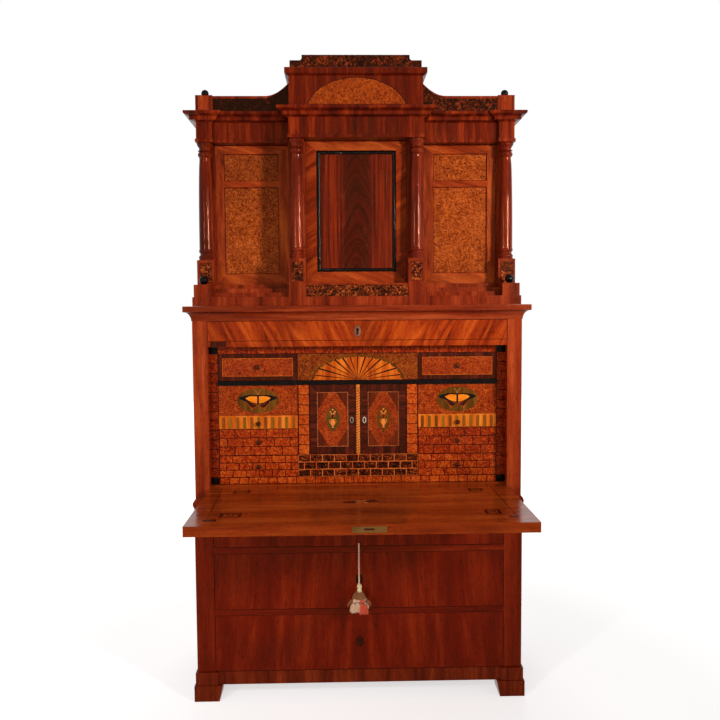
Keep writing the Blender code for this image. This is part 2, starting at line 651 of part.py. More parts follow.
def chest_drawers():
    """The three long drawers and the frieze drawer. The top one has the hole of its key."""
    rows = (("drawer_bottom", DRAWER_HALF, PLINTH_TOP, LOWER_RAIL_LOW),
            ("drawer_middle", DRAWER_HALF, LOWER_RAIL_TOP, UPPER_RAIL_LOW),
            ("drawer_top", DRAWER_HALF, UPPER_RAIL_TOP, WAIST_LOW),
            ("frieze_drawer", OPENING_HALF, FRIEZE_FLOOR, CASE_TOP))
    front = FRONT + DRAWER_SET_BACK
    for name, half, low, high in rows:
        piece = tray(name, half - FRONT_GAP, low + RUN, high - FRONT_GAP, front, DRAWER_LENGTH,
                     CHEST_WALLS, DRAWER_MAHOGANY)
        if name == "drawer_top":
            cut(piece, rod("key_hole", (RING_X, front - OVERRUN, KEY_HEIGHT),
                           (RING_X, front + KEY_HOLE_DEPTH, KEY_HEIGHT), KEY_HOLE_RADIUS))


KNOB_SHARES = ((0, 1), (0.55, 0.97), (0.92, 0.80), (1, 0.62), (0.85, 0.44), (0.48, 0.30), (0.48, 0))


def knob(name, x, y, z):
    """A small turned knob, with its shank sunk into the front that carries it."""
    profile = [(r * KNOB_RADIUS, h * KNOB_REACH) for r, h in KNOB_SHARES]
    profile += [(profile[-1][0], -ROOT), (0, -ROOT)]
    return turned(name, profile, facing_front(x, y, z), steps=SMALL_STEPS)


def gallery_drawer(name, left, right, low, high, knob_drop, finish):
    """A gallery drawer: a front that laps its pocket, the body behind it and a knob."""
    front = GALLERY_FRONT
    gap = FRONT_GAP / 2
    piece = box(name, (left + gap, front, low + gap),
                (right - gap, front + GALLERY_FRONT_THICK, high - gap), finish)
    inset = GALLERY_WALL + RUN
    a, b = left + inset, right - inset
    c, d = low + GALLERY_LAP + RUN, high - GALLERY_LAP - FRONT_GAP
    end = front + GALLERY_DRAWER_LENGTH
    wall = GALLERY_DRAWER_WALL
    body = box(f"{name}_body", (a, front + ROOT, c), (b, end, d - GALLERY_DRAWER_DROP))
    fuse(piece, body)
    cut(piece, box(f"{name}_hollow", (a + wall, front + GALLERY_FRONT_THICK, c + GALLERY_DRAWER_FLOOR),
                   (b - wall, end - wall, high + OVERRUN)))
    middle = (left + right) / 2, front, (low + high) / 2
    fuse(piece, knob(f"{name}_knob", middle[0], front, middle[2] - knob_drop))
    move_origin(piece, middle)


GALLERY_ROWS = (("gallery_drawer_low", BRICK_LOW, BRICK_HIGH, 0, BRICK_BURL),
                ("gallery_drawer_high", BRICK_HIGH, BUTTERFLY_LOW, 0, BRICK_BURL),
                ("gallery_drawer_butterfly", BUTTERFLY_LOW, MOULDING_LOW, FLUTE_KNOB_DROP, SATINWOOD),
                ("gallery_drawer_top", TOP_ROW_LOW, TOP_ROW_TOP, 0, BRICK_BURL))


def gallery_drawers():
    """Four drawers in each side bay and the long one under the cupboards."""
    for side, s in SIDES:
        left, right = sorted((s * CENTRE_HALF, s * COLUMN_OUTER))
        for name, low, high, knob_drop, finish in GALLERY_ROWS:
            gallery_drawer(f"{name}_{side}", left, right, low, high, knob_drop, finish)
    gallery_drawer("gallery_drawer_centre", -CENTRE_HALF, CENTRE_HALF, BRICK_LOW, CUPBOARD_LOW, 0, DARK_BURL)


# Gallery
def pocket(name, left, right, low, high, depth):
    """The hollow of one drawer or cupboard, open at the gallery's front."""
    return box(name, (left, GALLERY_FRONT - OVERRUN, low), (right, GALLERY_FRONT + depth, high))


def gallery_bays():
    """Three fixed cases on the writing bed: two for drawers, one for cupboards and the fan frieze."""
    low, high = WRITING_TOP + TOUCH, OPENING_TOP - TOUCH
    rear = GALLERY_FRONT + GALLERY_DEPTH
    depth = GALLERY_DRAWER_LENGTH + RUN * 2
    for side, s in SIDES:
        bay = box(f"gallery_bay_{side}", (s * (CENTRE_HALF + TOUCH), GALLERY_FRONT, low),
                  (s * (PANEL_INNER - TOUCH), rear, high), BRICK_BURL)
        inner = s * (CENTRE_HALF - OVERRUN)
        for name, bottom, top in (("front_room", BRICK_LOW, MOULDING_LOW),
                                  ("top_front_room", TOP_ROW_LOW, TOP_ROW_TOP)):
            cut(bay, pocket(f"{name}_{side}", inner, s * COLUMN_OUTER, bottom, top,
                            GALLERY_FRONT_THICK + TOUCH))
        for name, bottom, top, _, _ in GALLERY_ROWS:
            cut(bay, pocket(f"{name}_room_{side}", s * (CENTRE_HALF + GALLERY_WALL),
                            s * (COLUMN_OUTER - GALLERY_WALL), bottom + GALLERY_LAP, top - GALLERY_LAP,
                            depth))
    centre = box("gallery_bay_centre", (-CENTRE_HALF, GALLERY_FRONT, low), (CENTRE_HALF, rear, high),
                 BRICK_BURL)
    cut(centre,
        pocket("centre_front_room", -CENTRE_HALF - OVERRUN, CENTRE_HALF + OVERRUN, BRICK_LOW, CUPBOARD_LOW,
               GALLERY_FRONT_THICK + TOUCH),
        pocket("centre_room", -CENTRE_HALF + GALLERY_WALL, CENTRE_HALF - GALLERY_WALL,
               BRICK_LOW + GALLERY_LAP, CUPBOARD_LOW - GALLERY_LAP, depth),
        box("fan_hollow", (-CENTRE_HALF + GALLERY_WALL, GALLERY_FRONT + FAN_FRONT_THICK, TOP_ROW_LOW),
            (CENTRE_HALF - GALLERY_WALL, rear + OVERRUN, TOP_ROW_TOP)))
    for side, s in SIDES:
        cut(centre,
            pocket(f"door_room_{side}", s * MULLION_HALF, s * CUPBOARD_OUTER, CUPBOARD_LOW, MOULDING_LOW,
                   GALLERY_DOOR_THICK + TOUCH),
            pocket(f"cupboard_{side}", s * (MULLION_HALF + GALLERY_LAP), s * (CUPBOARD_OUTER - GALLERY_LAP),
                   CUPBOARD_LOW + GALLERY_LAP, MOULDING_LOW - GALLERY_LAP, CUPBOARD_DEPTH))


def gallery_moulding():
    """The ebonised moulding across the gallery, heavier over the drawers than over the cupboards."""
    near = GALLERY_FRONT - TOUCH
    low, high = MOULDING_LOW + CENTRE_MOULDING_DROP, TOP_ROW_LOW - CENTRE_MOULDING_DROP
    piece = box("gallery_moulding", (-CENTRE_HALF - ROOT, near - CENTRE_MOULDING_PROUD, low),
                (CENTRE_HALF + ROOT, near, high), EBONISED)
    for side, s in SIDES:
        fuse(piece, box(f"moulding_{side}", (s * CENTRE_HALF, near - MOULDING_PROUD, MOULDING_LOW),
                        (s * COLUMN_OUTER, near, TOP_ROW_LOW)))


def gallery_doors():
    """Two little doors on a fixed mullion, each hung at its outer front edge."""
    for side, s in SIDES:
        outer = s * (CUPBOARD_OUTER - FRONT_GAP)
        door = box(f"cupboard_door_{side}",
                   (s * (MULLION_HALF + DOOR_EDGE_GAP), GALLERY_FRONT, CUPBOARD_LOW + FRONT_GAP),
                   (outer, GALLERY_FRONT + GALLERY_DOOR_THICK, MOULDING_LOW - FRONT_GAP), DARK_BURL)
        move_origin(door, (outer, GALLERY_FRONT, (CUPBOARD_LOW + MOULDING_LOW) / 2))


# Upper cabinet
def upper_base():
    """The stylobate: base band, steps between the pedestals, corner blocks and the small drawer's case."""
    base = box("upper_base", (-BASE_HALF, BASE_FRONT, LEDGE_TOP + TOUCH), (BASE_HALF, BACK, BAND_TOP),
               MAHOGANY)
    sunk = BAND_TOP - OVERRUN
    deck_front = BASE_FRONT + (SIDE_DOOR_FRONT - BASE_FRONT) * STEP_COUNT / (STEP_COUNT + 1)
    run = (SIDE_DOOR_FRONT - BASE_FRONT) / (STEP_COUNT + 1)
    rise = DECK_RISE / STEP_COUNT
    pedestal_back = OUTER_FRONT + PEDESTAL_WIDTH - TOUCH
    lap = deck_front + ROOT
    fuse(base,
         box("deck", (-OUTER_PEDESTAL_OUTER, deck_front, sunk), (OUTER_PEDESTAL_OUTER, BACK, DECK_TOP)),
         box("drawer_case", (-INNER_PEDESTAL_OUTER, BASE_FRONT, sunk),
             (INNER_PEDESTAL_OUTER, lap, DECK_TOP)))
    for side, s in SIDES:
        for i in range(1, STEP_COUNT):
            near = BASE_FRONT + run * i
            fuse(base, box(f"step_{side}_{i}", (s * (INNER_PEDESTAL_OUTER - ROOT), near, sunk),
                           (s * (OUTER_PEDESTAL_INNER + ROOT), lap, BAND_TOP + rise * i)))
        fuse(base,
             box(f"outer_pedestal_{side}", (s * OUTER_PEDESTAL_INNER, OUTER_FRONT, sunk),
                 (s * OUTER_PEDESTAL_OUTER, pedestal_back, PEDESTAL_TOP)),
             box(f"corner_block_{side}", (s * OUTER_PEDESTAL_INNER, BASE_FRONT, sunk),
                 (s * OUTER_PEDESTAL_OUTER, OUTER_FRONT + ROOT, BAND_TOP + CORNER_BLOCK_HEIGHT)),
             box(f"inner_pedestal_{side}", (s * INNER_PEDESTAL_INNER, BASE_FRONT, sunk),
                 (s * INNER_PEDESTAL_OUTER, BASE_FRONT + PEDESTAL_WIDTH - TOUCH, PEDESTAL_TOP)))
    cut(base, box("small_drawer_room", (-INNER_PEDESTAL_INNER, BASE_FRONT - OVERRUN, BAND_TOP),
                  (INNER_PEDESTAL_INNER, FRONT + UPPER_DRAWER_LENGTH + OVERRUN, SMALL_DRAWER_TOP)))


def upper_case():
    """The upper case: its middle comes forward, its doors lie in notches, and it has three rooms."""
    notch = UPPER_DOOR_THICK + TOUCH
    centre_front, side_front = DOOR_FRONT + TOUCH, SIDE_DOOR_FRONT + TOUCH
    centre_edge, side_edge = CENTRE_DOOR_HALF + FRONT_GAP, SIDE_DOOR_OUTER + FRONT_GAP
    right = [(centre_edge, centre_front + notch), (centre_edge, centre_front),
             (INNER_PEDESTAL_OUTER, centre_front), (INNER_PEDESTAL_OUTER, SIDE_DOOR_FRONT + notch),
             (side_edge, SIDE_DOOR_FRONT + notch), (side_edge, side_front),
             (UPPER_CASE_HALF, side_front), (UPPER_CASE_HALF, BACK)]
    outline = right + [(-x, y) for x, y in reversed(right)]
    case = along_z("upper_case", outline, DECK_TOP + TOUCH, SOFFIT - TOUCH, MAHOGANY)
    low, high = DECK_TOP + UPPER_WALL, SOFFIT - UPPER_WALL
    rear = BACK - UPPER_WALL
    half = CENTRE_DOOR_HALF - UPPER_LAP
    cut(case, box("upper_room_centre", (-half, DOOR_FRONT - OVERRUN, low), (half, rear, high)))
    for side, s in SIDES:
        inner, outer = s * (SIDE_DOOR_INNER + UPPER_LAP), s * (SIDE_DOOR_OUTER - UPPER_LAP)
        cut(case, box(f"upper_room_{side}", (inner, SIDE_DOOR_FRONT - OVERRUN, low), (outer, rear, high)))
    shelf = (low + high) / 2
    box("upper_shelf", (-half + TOUCH, DOOR_FRONT + 2 * UPPER_DOOR_THICK, shelf),
        (half - TOUCH, rear - TOUCH, shelf + BOARD_THICK), OAK)


def upper_doors():
    """A sunk-panel door in the middle and, at each side, a door with a small field over a tall one."""
    left, right = -CENTRE_DOOR_HALF, INNER_PEDESTAL_INNER - DOOR_EDGE_GAP
    door = box("upper_door_centre", (left, DOOR_FRONT, UPPER_DOOR_LOW),
               (right, DOOR_FRONT + UPPER_DOOR_THICK, UPPER_DOOR_TOP), MAHOGANY)
    low, high = UPPER_DOOR_LOW + CENTRE_DOOR_BOTTOM_RAIL, UPPER_DOOR_TOP - CENTRE_DOOR_TOP_RAIL
    cut(door, box("centre_field", (left + CENTRE_DOOR_STILE, DOOR_FRONT - OVERRUN, low),
                  (right - CENTRE_DOOR_STILE, DOOR_FRONT + FIELD_SINK, high)))
    move_origin(door, (left, DOOR_FRONT, (UPPER_DOOR_LOW + UPPER_DOOR_TOP) / 2))
    lower = UPPER_DOOR_LOW + SIDE_DOOR_BOTTOM_RAIL
    middle = lower + SIDE_DOOR_LOWER_FIELD
    fields = (("lower", lower, middle),
              ("upper", middle + SIDE_DOOR_MID_RAIL, UPPER_DOOR_TOP - SIDE_DOOR_TOP_RAIL))
    inner, outer = SIDE_DOOR_INNER + SIDE_DOOR_INNER_STILE, SIDE_DOOR_OUTER - SIDE_DOOR_OUTER_STILE
    for side, s in SIDES:
        door = box(f"upper_door_{side}", (s * SIDE_DOOR_INNER, SIDE_DOOR_FRONT, UPPER_DOOR_LOW),
                   (s * SIDE_DOOR_OUTER, SIDE_DOOR_FRONT + UPPER_DOOR_THICK, UPPER_DOOR_TOP), MAHOGANY)
        for name, low, high in fields:
            cut(door, box(f"{name}_field_{side}", (s * inner, SIDE_DOOR_FRONT - OVERRUN, low),
                          (s * outer, SIDE_DOOR_FRONT + FIELD_SINK, high)))
        move_origin(door, (s * SIDE_DOOR_OUTER, SIDE_DOOR_FRONT, (UPPER_DOOR_LOW + UPPER_DOOR_TOP) / 2))


def small_drawer():
    """The shallow burl drawer under the middle door."""
    walls = GALLERY_FRONT_THICK, GALLERY_DRAWER_WALL, GALLERY_DRAWER_FLOOR, GALLERY_DRAWER_DROP
    tray("upper_drawer", INNER_PEDESTAL_INNER - FRONT_GAP, BAND_TOP + RUN, SMALL_DRAWER_TOP - FRONT_GAP,
         BASE_FRONT + SMALL_DRAWER_SET_BACK, UPPER_DRAWER_LENGTH - SMALL_DRAWER_SET_BACK, walls, DARK_BURL)


# shares of the base's height and of its foot radius, top to bottom: fillet, ring, hollow, ring, foot
BASE_SHARES = ((0.98, 0.93), (0.90, 0.96), (0.80, 0.95), (0.70, 0.90), (0.62, 0.82), (0.50, 0.82),
               (0.42, 0.92), (0.28, 1.00), (0.14, 0.94), (0.08, 0.98), (0, 0.98))
# shares of the capital's height and of its radius, top to bottom: abacus, bell, ring, vase, necking
CAPITAL_SHARES = ((1, 1), (0.90, 1), (0.87, 0.80), (0.78, 0.66), (0.66, 0.60), (0.58, 0.72), (0.50, 0.60),
                  (0.36, 0.78), (0.22, 0.84), (0.12, 0.70), (0.06, 0.74), (0.01, 0.62))
SHAFT_SHARES = (1, 0.8, 0.6, 0.4, 0.2, 0)
SHAFT_FULLNESS = 0.999  # 1 brings the shaft's top to the neck's radius


def column_profile():
    """The column's outer side from capital to foot. Its shaft tapers with a slight swell."""
    top = COLUMN_HEIGHT - TOUCH
    start = top - CAPITAL_HEIGHT
    points = [(0, top)] + [(CAPITAL_RADIUS * r, start + CAPITAL_HEIGHT * h) for h, r in CAPITAL_SHARES]
    for share in SHAFT_SHARES:
        height = COLUMN_BASE_HEIGHT + (start - COLUMN_BASE_HEIGHT) * share
        swell = sqrt(1 - share ** 2 * SHAFT_FULLNESS)
        points.append((NECK_RADIUS + (SHAFT_RADIUS - NECK_RADIUS) * swell, height - ARRIS * share))
    points += [(COLUMN_FOOT_RADIUS * r, COLUMN_BASE_HEIGHT * h + TOUCH) for h, r in BASE_SHARES]
    return points + [(0, TOUCH)]


def columns():
    """Four turned columns, each on the middle of its pedestal."""
    places = (("inner", INNER_PEDESTAL_OUTER, BASE_FRONT), ("outer", OUTER_PEDESTAL_OUTER, OUTER_FRONT))
    for place, edge, front in places:
        for side, s in SIDES:
            middle = s * (edge - PEDESTAL_WIDTH / 2), front + PEDESTAL_WIDTH / 2, PEDESTAL_TOP
            turned(f"column_{place}_{side}", column_profile(), Matrix.Translation(middle), MAHOGANY)


def ball(name, radius, foot_radius, foot_height, place):
    """A turned ball on a short foot."""
    start = sqrt(radius ** 2 - foot_radius ** 2)
    middle = foot_height + start + TOUCH
    points = [(0, middle + radius)]
    steps = 2 * ARC_STEPS
    low = -pi / 2 + foot_radius / radius
    for i in range(1, steps + 1):
        angle = pi / 2 + (low - pi / 2) * i / steps
        points.append((radius * cos(angle), middle + radius * sin(angle)))
    points += [(foot_radius, foot_height + TOUCH), (foot_radius, TOUCH), (0, TOUCH)]
    turned(name, points, Matrix.Translation(place), EBONISED)


def balls():
    """Ebonised balls on the corner blocks and on the crest's corner blocks."""
    x = OUTER_PEDESTAL_OUTER - PEDESTAL_WIDTH / 2
    top_x = TOP_BLOCK_OUTER - TOP_BLOCK_WIDTH / 2
    for side, s in SIDES:
        ball(f"corner_ball_{side}", BALL_RADIUS, BALL_FOOT_RADIUS, BALL_FOOT_HEIGHT,
             (s * x, BASE_FRONT + BALL_FROM_FRONT, BAND_TOP + CORNER_BLOCK_HEIGHT))
        ball(f"finial_{side}", FINIAL_RADIUS, FINIAL_FOOT_RADIUS, FINIAL_FOOT_HEIGHT,
             (s * top_x, FRIEZE_FRONT + TOP_BLOCK_WIDTH / 2, CORNICE_TOP + TOP_BLOCK_HEIGHT))


def entablature():
    """Architrave, frieze and cornice, breaking forward over the columns, with a sunk top behind."""
    corner = UPPER_CASE_HALF - OUTER_FRIEZE_WIDTH
    right = [(CENTRE_FRIEZE_HALF, BASE_FRONT, 1), (CENTRE_FRIEZE_HALF, FRIEZE_FRONT, 1),
             (corner, FRIEZE_FRONT, -1), (corner, OUTER_FRONT, -1), (UPPER_CASE_HALF, OUTER_FRONT, 1),
             (UPPER_CASE_HALF, BACK, 1)]

    def ring(z, proud):
        half = [(x + way * proud, y - (proud if y < BACK else 0), z) for x, y, way in right]
        return half + [(-x, y, z) for x, y, z in reversed(half)]

    frieze_low = SOFFIT + ARCHITRAVE_HEIGHT
    frieze_top = frieze_low + FRIEZE_HEIGHT
    bed_top = frieze_top + BED_HEIGHT
    corona_top = bed_top + CORONA_HEIGHT
    cyma_top = corona_top + CYMA_HEIGHT
    rings = [ring(SOFFIT, ARCHITRAVE_PROUD), ring(frieze_low - ARRIS, ARCHITRAVE_PROUD), ring(frieze_low, 0),
             ring(frieze_top, 0)]
    for i in range(1, ARC_STEPS):
        angle = pi / 2 * i / (ARC_STEPS - 1)
        rings.append(ring(frieze_top + (BED_HEIGHT - ARRIS) * sin(angle),
                          (CORONA_PROUD - ARRIS) * (1 - cos(angle))))
    rings += [ring(bed_top, CORONA_PROUD), ring(corona_top, CORONA_PROUD)]
    for i in range(1, ARC_STEPS + 1):
        share = i / ARC_STEPS
        rings.append(ring(corona_top + CYMA_HEIGHT * share,
                          CORONA_PROUD + (CORNICE_PROUD - CORONA_PROUD) * (1 - cos(pi * share)) / 2))
    fillet = CORNICE_PROUD + ARRIS / 2
    rings += [ring(cyma_top + ARRIS, fillet), ring(CORNICE_TOP - ARRIS, fillet),
              ring(CORNICE_TOP, CORNICE_PROUD)]
    piece = loft("entablature", rings, MAHOGANY)
    cut(piece, box("sunk_top", (-UPPER_CASE_HALF + TRAY_EDGE, FRIEZE_FRONT + TRAY_RIM, SOFFIT + TRAY_FLOOR),
                   (UPPER_CASE_HALF - TRAY_EDGE, BACK - TRAY_EDGE, CORNICE_TOP + OVERRUN)))


def attic():
    """The attic block with its cornice, and the stepped crest on it."""
    front, rear = FRONT + ATTIC_SET_BACK, FRONT + ATTIC_SET_BACK + ATTIC_DEPTH

    def ring(z, proud):
        return [(-ATTIC_HALF - proud, rear, z), (-ATTIC_HALF - proud, front - proud, z),
                (ATTIC_HALF + proud, front - proud, z), (ATTIC_HALF + proud, rear, z)]

    low = CORNICE_TOP + TOUCH
    block_top = CORNICE_TOP + ATTIC_HEIGHT
    rings = [ring(low, 0), ring(block_top, 0)]
    for i in range(1, ARC_STEPS + 1):
        share = i / ARC_STEPS
        rings.append(ring(block_top + ATTIC_BED_HEIGHT * share,
                          ATTIC_CORNICE_PROUD * (1 - cos(pi * share)) / 2))
    rings += [ring(ATTIC_TOP - ARRIS, ATTIC_CORNICE_PROUD), ring(ATTIC_TOP, ATTIC_CORNICE_PROUD - ARRIS)]
    loft("attic_block", rings, MAHOGANY)
    foot = ATTIC_TOP + TOUCH
    step = ATTIC_TOP + CREST_STEP_HEIGHT
    half = [(CREST_HALF, foot), (CREST_HALF, step)]
    half += arc((CREST_UPPER_HALF + CREST_COVE, step + CREST_COVE), CREST_COVE, -90, -180)
    half.append((CREST_UPPER_HALF, ATTIC_TOP + CREST_HEIGHT))
    outline = half + [(-x, z) for x, z in reversed(half)]
    along_y("attic_crest", outline, front + CREST_SET_BACK, front + CREST_SET_BACK + CREST_DEPTH, DARK_BURL)


def scroll_panels():
    """The low side galleries: a board that sweeps up to the attic, in one piece with its corner block."""
    front = FRIEZE_FRONT
    low = CORNICE_TOP + TOUCH
    inner = TOP_BLOCK_OUTER - TOP_BLOCK_WIDTH
    near = ATTIC_HALF + TOUCH
    sweep = near + (inner - near) * (1 - SCROLL_LEVEL_SHARE)
    steps = 2 * ARC_STEPS
    top = []
    for i in range(steps + 1):
        share = i / steps
        rise = (SCROLL_HIGH - SCROLL_LOW) * (1 - cos(pi * share / 2)) ** SCROLL_CURVE
        top.append((sweep + (near - sweep) * share, CORNICE_TOP + SCROLL_LOW + rise))
    outline = [(inner + ROOT, low), (inner + ROOT, CORNICE_TOP + SCROLL_LOW)] + top + [(near, low)]
    for side, s in SIDES:
        panel = along_y(f"scroll_panel_{side}", [(s * x, z) for x, z in outline],
                        front + ROOT, front + ROOT + SCROLL_THICK, DARK_BURL)
        fuse(panel, box(f"top_block_{side}", (s * inner, front, low),
                        (s * TOP_BLOCK_OUTER, front + TOP_BLOCK_WIDTH, CORNICE_TOP + TOP_BLOCK_HEIGHT)))


# Key and tassel
def wire_ring(name, radius, wire, place, finish=None):
    """A closed ring of round wire."""
    section = [(radius + wire * cos(-2 * pi * i / SMALL_STEPS), wire * sin(-2 * pi * i / SMALL_STEPS))
               for i in range(SMALL_STEPS)]
    return turned(name, section, place, finish, closed=True)


def key_and_tassel():
    """The key in the top drawer's lock, with a ring in its bow and a tassel that hangs from the ring."""
    bow_y = FRONT - KEY_OUT
    front = FRONT + DRAWER_SET_BACK
    shank_end = bow_y + KEY_BOW_RADIUS
    upright = Matrix.Translation((RING_X, bow_y, KEY_HEIGHT)) @ Matrix.Rotation(radians(90), 4, "Y")
    key = rod("key", (RING_X, shank_end, KEY_HEIGHT), (RING_X, front + KEY_HOLE_DEPTH - TOUCH, KEY_HEIGHT),
              KEY_SHANK_RADIUS, STEEL)
    fuse(key, wire_ring("key_bow", KEY_BOW_RADIUS, KEY_BOW_WIRE, upright))
    ring_z = KEY_HEIGHT - KEY_BOW_RADIUS + KEY_BOW_WIRE + TOUCH + RING_WIRE - RING_RADIUS
    face_on = Matrix.Translation((RING_X, bow_y, ring_z)) @ Matrix.Rotation(radians(90), 4, "X")
    wire_ring("key_ring", RING_RADIUS, RING_WIRE, face_on, STEEL)
    drop = sqrt(RING_RADIUS ** 2 - (CORD_X - RING_X) ** 2)
    cord_top = ring_z - drop - 2 * RING_WIRE
    rod("tassel_cord", (CORD_X, bow_y, cord_top), (CORD_X, bow_y, TASSEL_TOP + TOUCH), CORD_RADIUS, SILK)
    rings = []
    height = TASSEL_TOP - TASSEL_BOTTOM
    for drop_share, width_share, depth_share in TASSEL_SHARES:
        z = TASSEL_TOP - height * drop_share
        rings.append([(CORD_X + TASSEL_HALF_WIDTH * width_share * cos(2 * pi * i / TURNED_STEPS),
                       bow_y + TASSEL_HALF_DEPTH * depth_share * sin(2 * pi * i / TURNED_STEPS), z)
                      for i in range(TURNED_STEPS)])
    loft("tassel", rings, SILK)


feet()
plinth()
sides()
back()
boards()
ledge()
flap()
chest_drawers()
gallery_drawers()
gallery_bays()
gallery_moulding()
gallery_doors()
upper_base()
upper_case()
upper_doors()
small_drawer()
columns()
balls()
entablature()
attic()
scroll_panels()
key_and_tassel()
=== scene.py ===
# %% [markdown]
# # Dressing a fall-front secretaire
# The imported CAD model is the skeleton: every board, drawer and hinge is already in its real place, in
# metres. This lesson gives the solids their veneers, varnish and brass, and adds what is too thin for CAD:
# marquetry, stringing, beads, and the silk tassel on the key.

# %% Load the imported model
import json
import math
import random

import bpy
from mathutils import Matrix, Vector


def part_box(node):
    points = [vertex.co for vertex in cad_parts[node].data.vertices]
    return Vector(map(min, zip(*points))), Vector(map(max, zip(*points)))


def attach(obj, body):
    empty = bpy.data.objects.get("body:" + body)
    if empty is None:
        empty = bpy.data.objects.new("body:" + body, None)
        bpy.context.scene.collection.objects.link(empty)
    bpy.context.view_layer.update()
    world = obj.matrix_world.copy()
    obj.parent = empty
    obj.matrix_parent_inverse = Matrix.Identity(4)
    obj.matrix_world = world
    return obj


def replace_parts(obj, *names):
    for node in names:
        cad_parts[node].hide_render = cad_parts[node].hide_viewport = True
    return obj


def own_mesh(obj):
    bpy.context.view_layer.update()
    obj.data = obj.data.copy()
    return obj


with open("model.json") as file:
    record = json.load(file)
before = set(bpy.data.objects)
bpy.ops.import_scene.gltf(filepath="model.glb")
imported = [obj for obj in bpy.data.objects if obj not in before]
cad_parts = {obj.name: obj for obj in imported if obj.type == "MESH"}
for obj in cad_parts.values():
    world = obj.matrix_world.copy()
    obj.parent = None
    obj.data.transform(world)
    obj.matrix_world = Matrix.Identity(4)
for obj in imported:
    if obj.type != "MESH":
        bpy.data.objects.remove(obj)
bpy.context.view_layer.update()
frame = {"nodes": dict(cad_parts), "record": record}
nodes = frame["nodes"]
body_of = {node: body for body, names in frame["record"]["behaviour"]["bodies"].items() for node in names}
scene = bpy.context.scene
scene.view_settings.view_transform = "Standard"

# %% [markdown]
# ## The camera
# The photograph was taken from in front, a little left of the middle and a little above the writing
# surface. The camera's place, turn and lens were worked out from the straight edges of the case and of the
# open flap, so it stands here as plain numbers. A longer lens further off would flatten the open flap too
# much.

# %% Stand the camera
CAMERA_PLACE = (-0.0599, -2.80175, 1.3969)
CAMERA_TURNS = [("Z", -1.378), ("X", -3.859), ("Y", 0.385), ("X", 90)]
CAMERA_LENS, SENSOR_WIDTH = 39.98, 36

camera = bpy.data.objects.new("camera", bpy.data.cameras.new("camera"))
camera.data.lens = CAMERA_LENS
camera.data.sensor_width = SENSOR_WIDTH
camera.matrix_world = Matrix.Translation(CAMERA_PLACE)
for axis, degrees in CAMERA_TURNS:
    camera.matrix_world = camera.matrix_world @ Matrix.Rotation(math.radians(degrees), 4, axis)
scene.collection.objects.link(camera)
scene.camera = camera
print("camera stands", round(-CAMERA_PLACE[1], 2), "m in front of the case")

# %% [markdown]
# ## Small tools for node trees
# A material is a tree of nodes. A few short helpers keep the trees readable: one puts a node in and feeds
# its sockets, two do arithmetic, one turns a grey value into wood tones, and one opens a shader node group,
# which is an effect with named inputs and outputs that several materials share.

# %% Helpers for nodes
def colour(word):
    """A linear colour from the six-figure word that a paint chart gives."""
    channels = [int(word[k:k + 2], 16) / 255 for k in (0, 2, 4)]
    return [c / 12.92 if c <= 0.04045 else ((c + 0.055) / 1.055) ** 2.4 for c in channels] + [1]


def feed(tree, sockets, feeds):
    """Sets each named socket to a value, or links another node's output to it."""
    for name, value in feeds.items():
        if isinstance(value, bpy.types.NodeSocket):
            tree.links.new(value, sockets[name])
        else:
            sockets[name].default_value = value


def put(tree, kind, feeds=(), **settings):
    """Adds a node, sets its properties and feeds its inputs."""
    node = tree.nodes.new(kind)
    for name, value in settings.items():
        setattr(node, name, value)
    feed(tree, node.inputs, dict(feeds))
    return node


def reckon(tree, operation, *values):
    """One step of arithmetic; the result is a socket."""
    return put(tree, "ShaderNodeMath", dict(enumerate(values)), operation=operation).outputs[0]


def steer(tree, operation, *values):
    """One step of arithmetic with vectors."""
    return put(tree, "ShaderNodeVectorMath", dict(enumerate(values)), operation=operation).outputs[0]


def noise(tree, **feeds):
    """The grey value of a noise pattern; W is its seed."""
    return put(tree, "ShaderNodeTexNoise", feeds, noise_dimensions="4D").outputs["Fac"]


def weighed(tree, first, *others):
    """The sum of (value, weight) pairs."""
    total = reckon(tree, "MULTIPLY", *first)
    for pair in others:
        total = reckon(tree, "ADD", total, reckon(tree, "MULTIPLY", *pair))
    return total


def spread(tree, value, low, high, to_low=0, to_high=1):
    """Stretches the range low..high of a value to to_low..to_high, and cuts off the rest."""
    feeds = {"Value": value, "From Min": low, "From Max": high, "To Min": to_low, "To Max": to_high}
    return put(tree, "ShaderNodeMapRange", feeds).outputs[0]


def toned(tree, value, words):
    """Turns a value from 0 to 1 into evenly spaced tones, dark first."""
    ramp = put(tree, "ShaderNodeValToRGB", {"Fac": value})
    stops, tones = ramp.color_ramp.elements, [colour(word) for word in words.split()]
    while len(stops) < len(tones):
        stops.new(0.5)
    for place, tone in enumerate(tones):
        stops[place].position = place / (len(tones) - 1)
        stops[place].color = tone
    return ramp.outputs["Color"]


def blended(tree, share, first, second, how="MIX"):
    """Mixes two colours by a share."""
    feeds = {"Factor": share, 6: first, 7: second}
    return put(tree, "ShaderNodeMix", feeds, data_type="RGBA", blend_type=how).outputs[2]


def new_group(name, takes, gives):
    """Opens a node group. takes gives each input's value, or None for a vector; gives names the outputs."""
    group = bpy.data.node_groups.new(name, "ShaderNodeTree")
    for label, value in takes.items():
        kind = "NodeSocketVector" if value is None else "NodeSocketFloat"
        socket = group.interface.new_socket(name=label, in_out="INPUT", socket_type=kind)
        if value is not None:
            socket.default_value = value
    for label in gives.split():
        group.interface.new_socket(name=label, in_out="OUTPUT", socket_type="NodeSocketFloat")
    return group, group.nodes.new("NodeGroupInput").outputs, group.nodes.new("NodeGroupOutput").inputs


def place_group(tree, group, **feeds):
    """Places a node group and feeds it; the result is its outputs."""
    return put(tree, "ShaderNodeGroup", feeds, node_tree=group).outputs


print("node helpers ready")

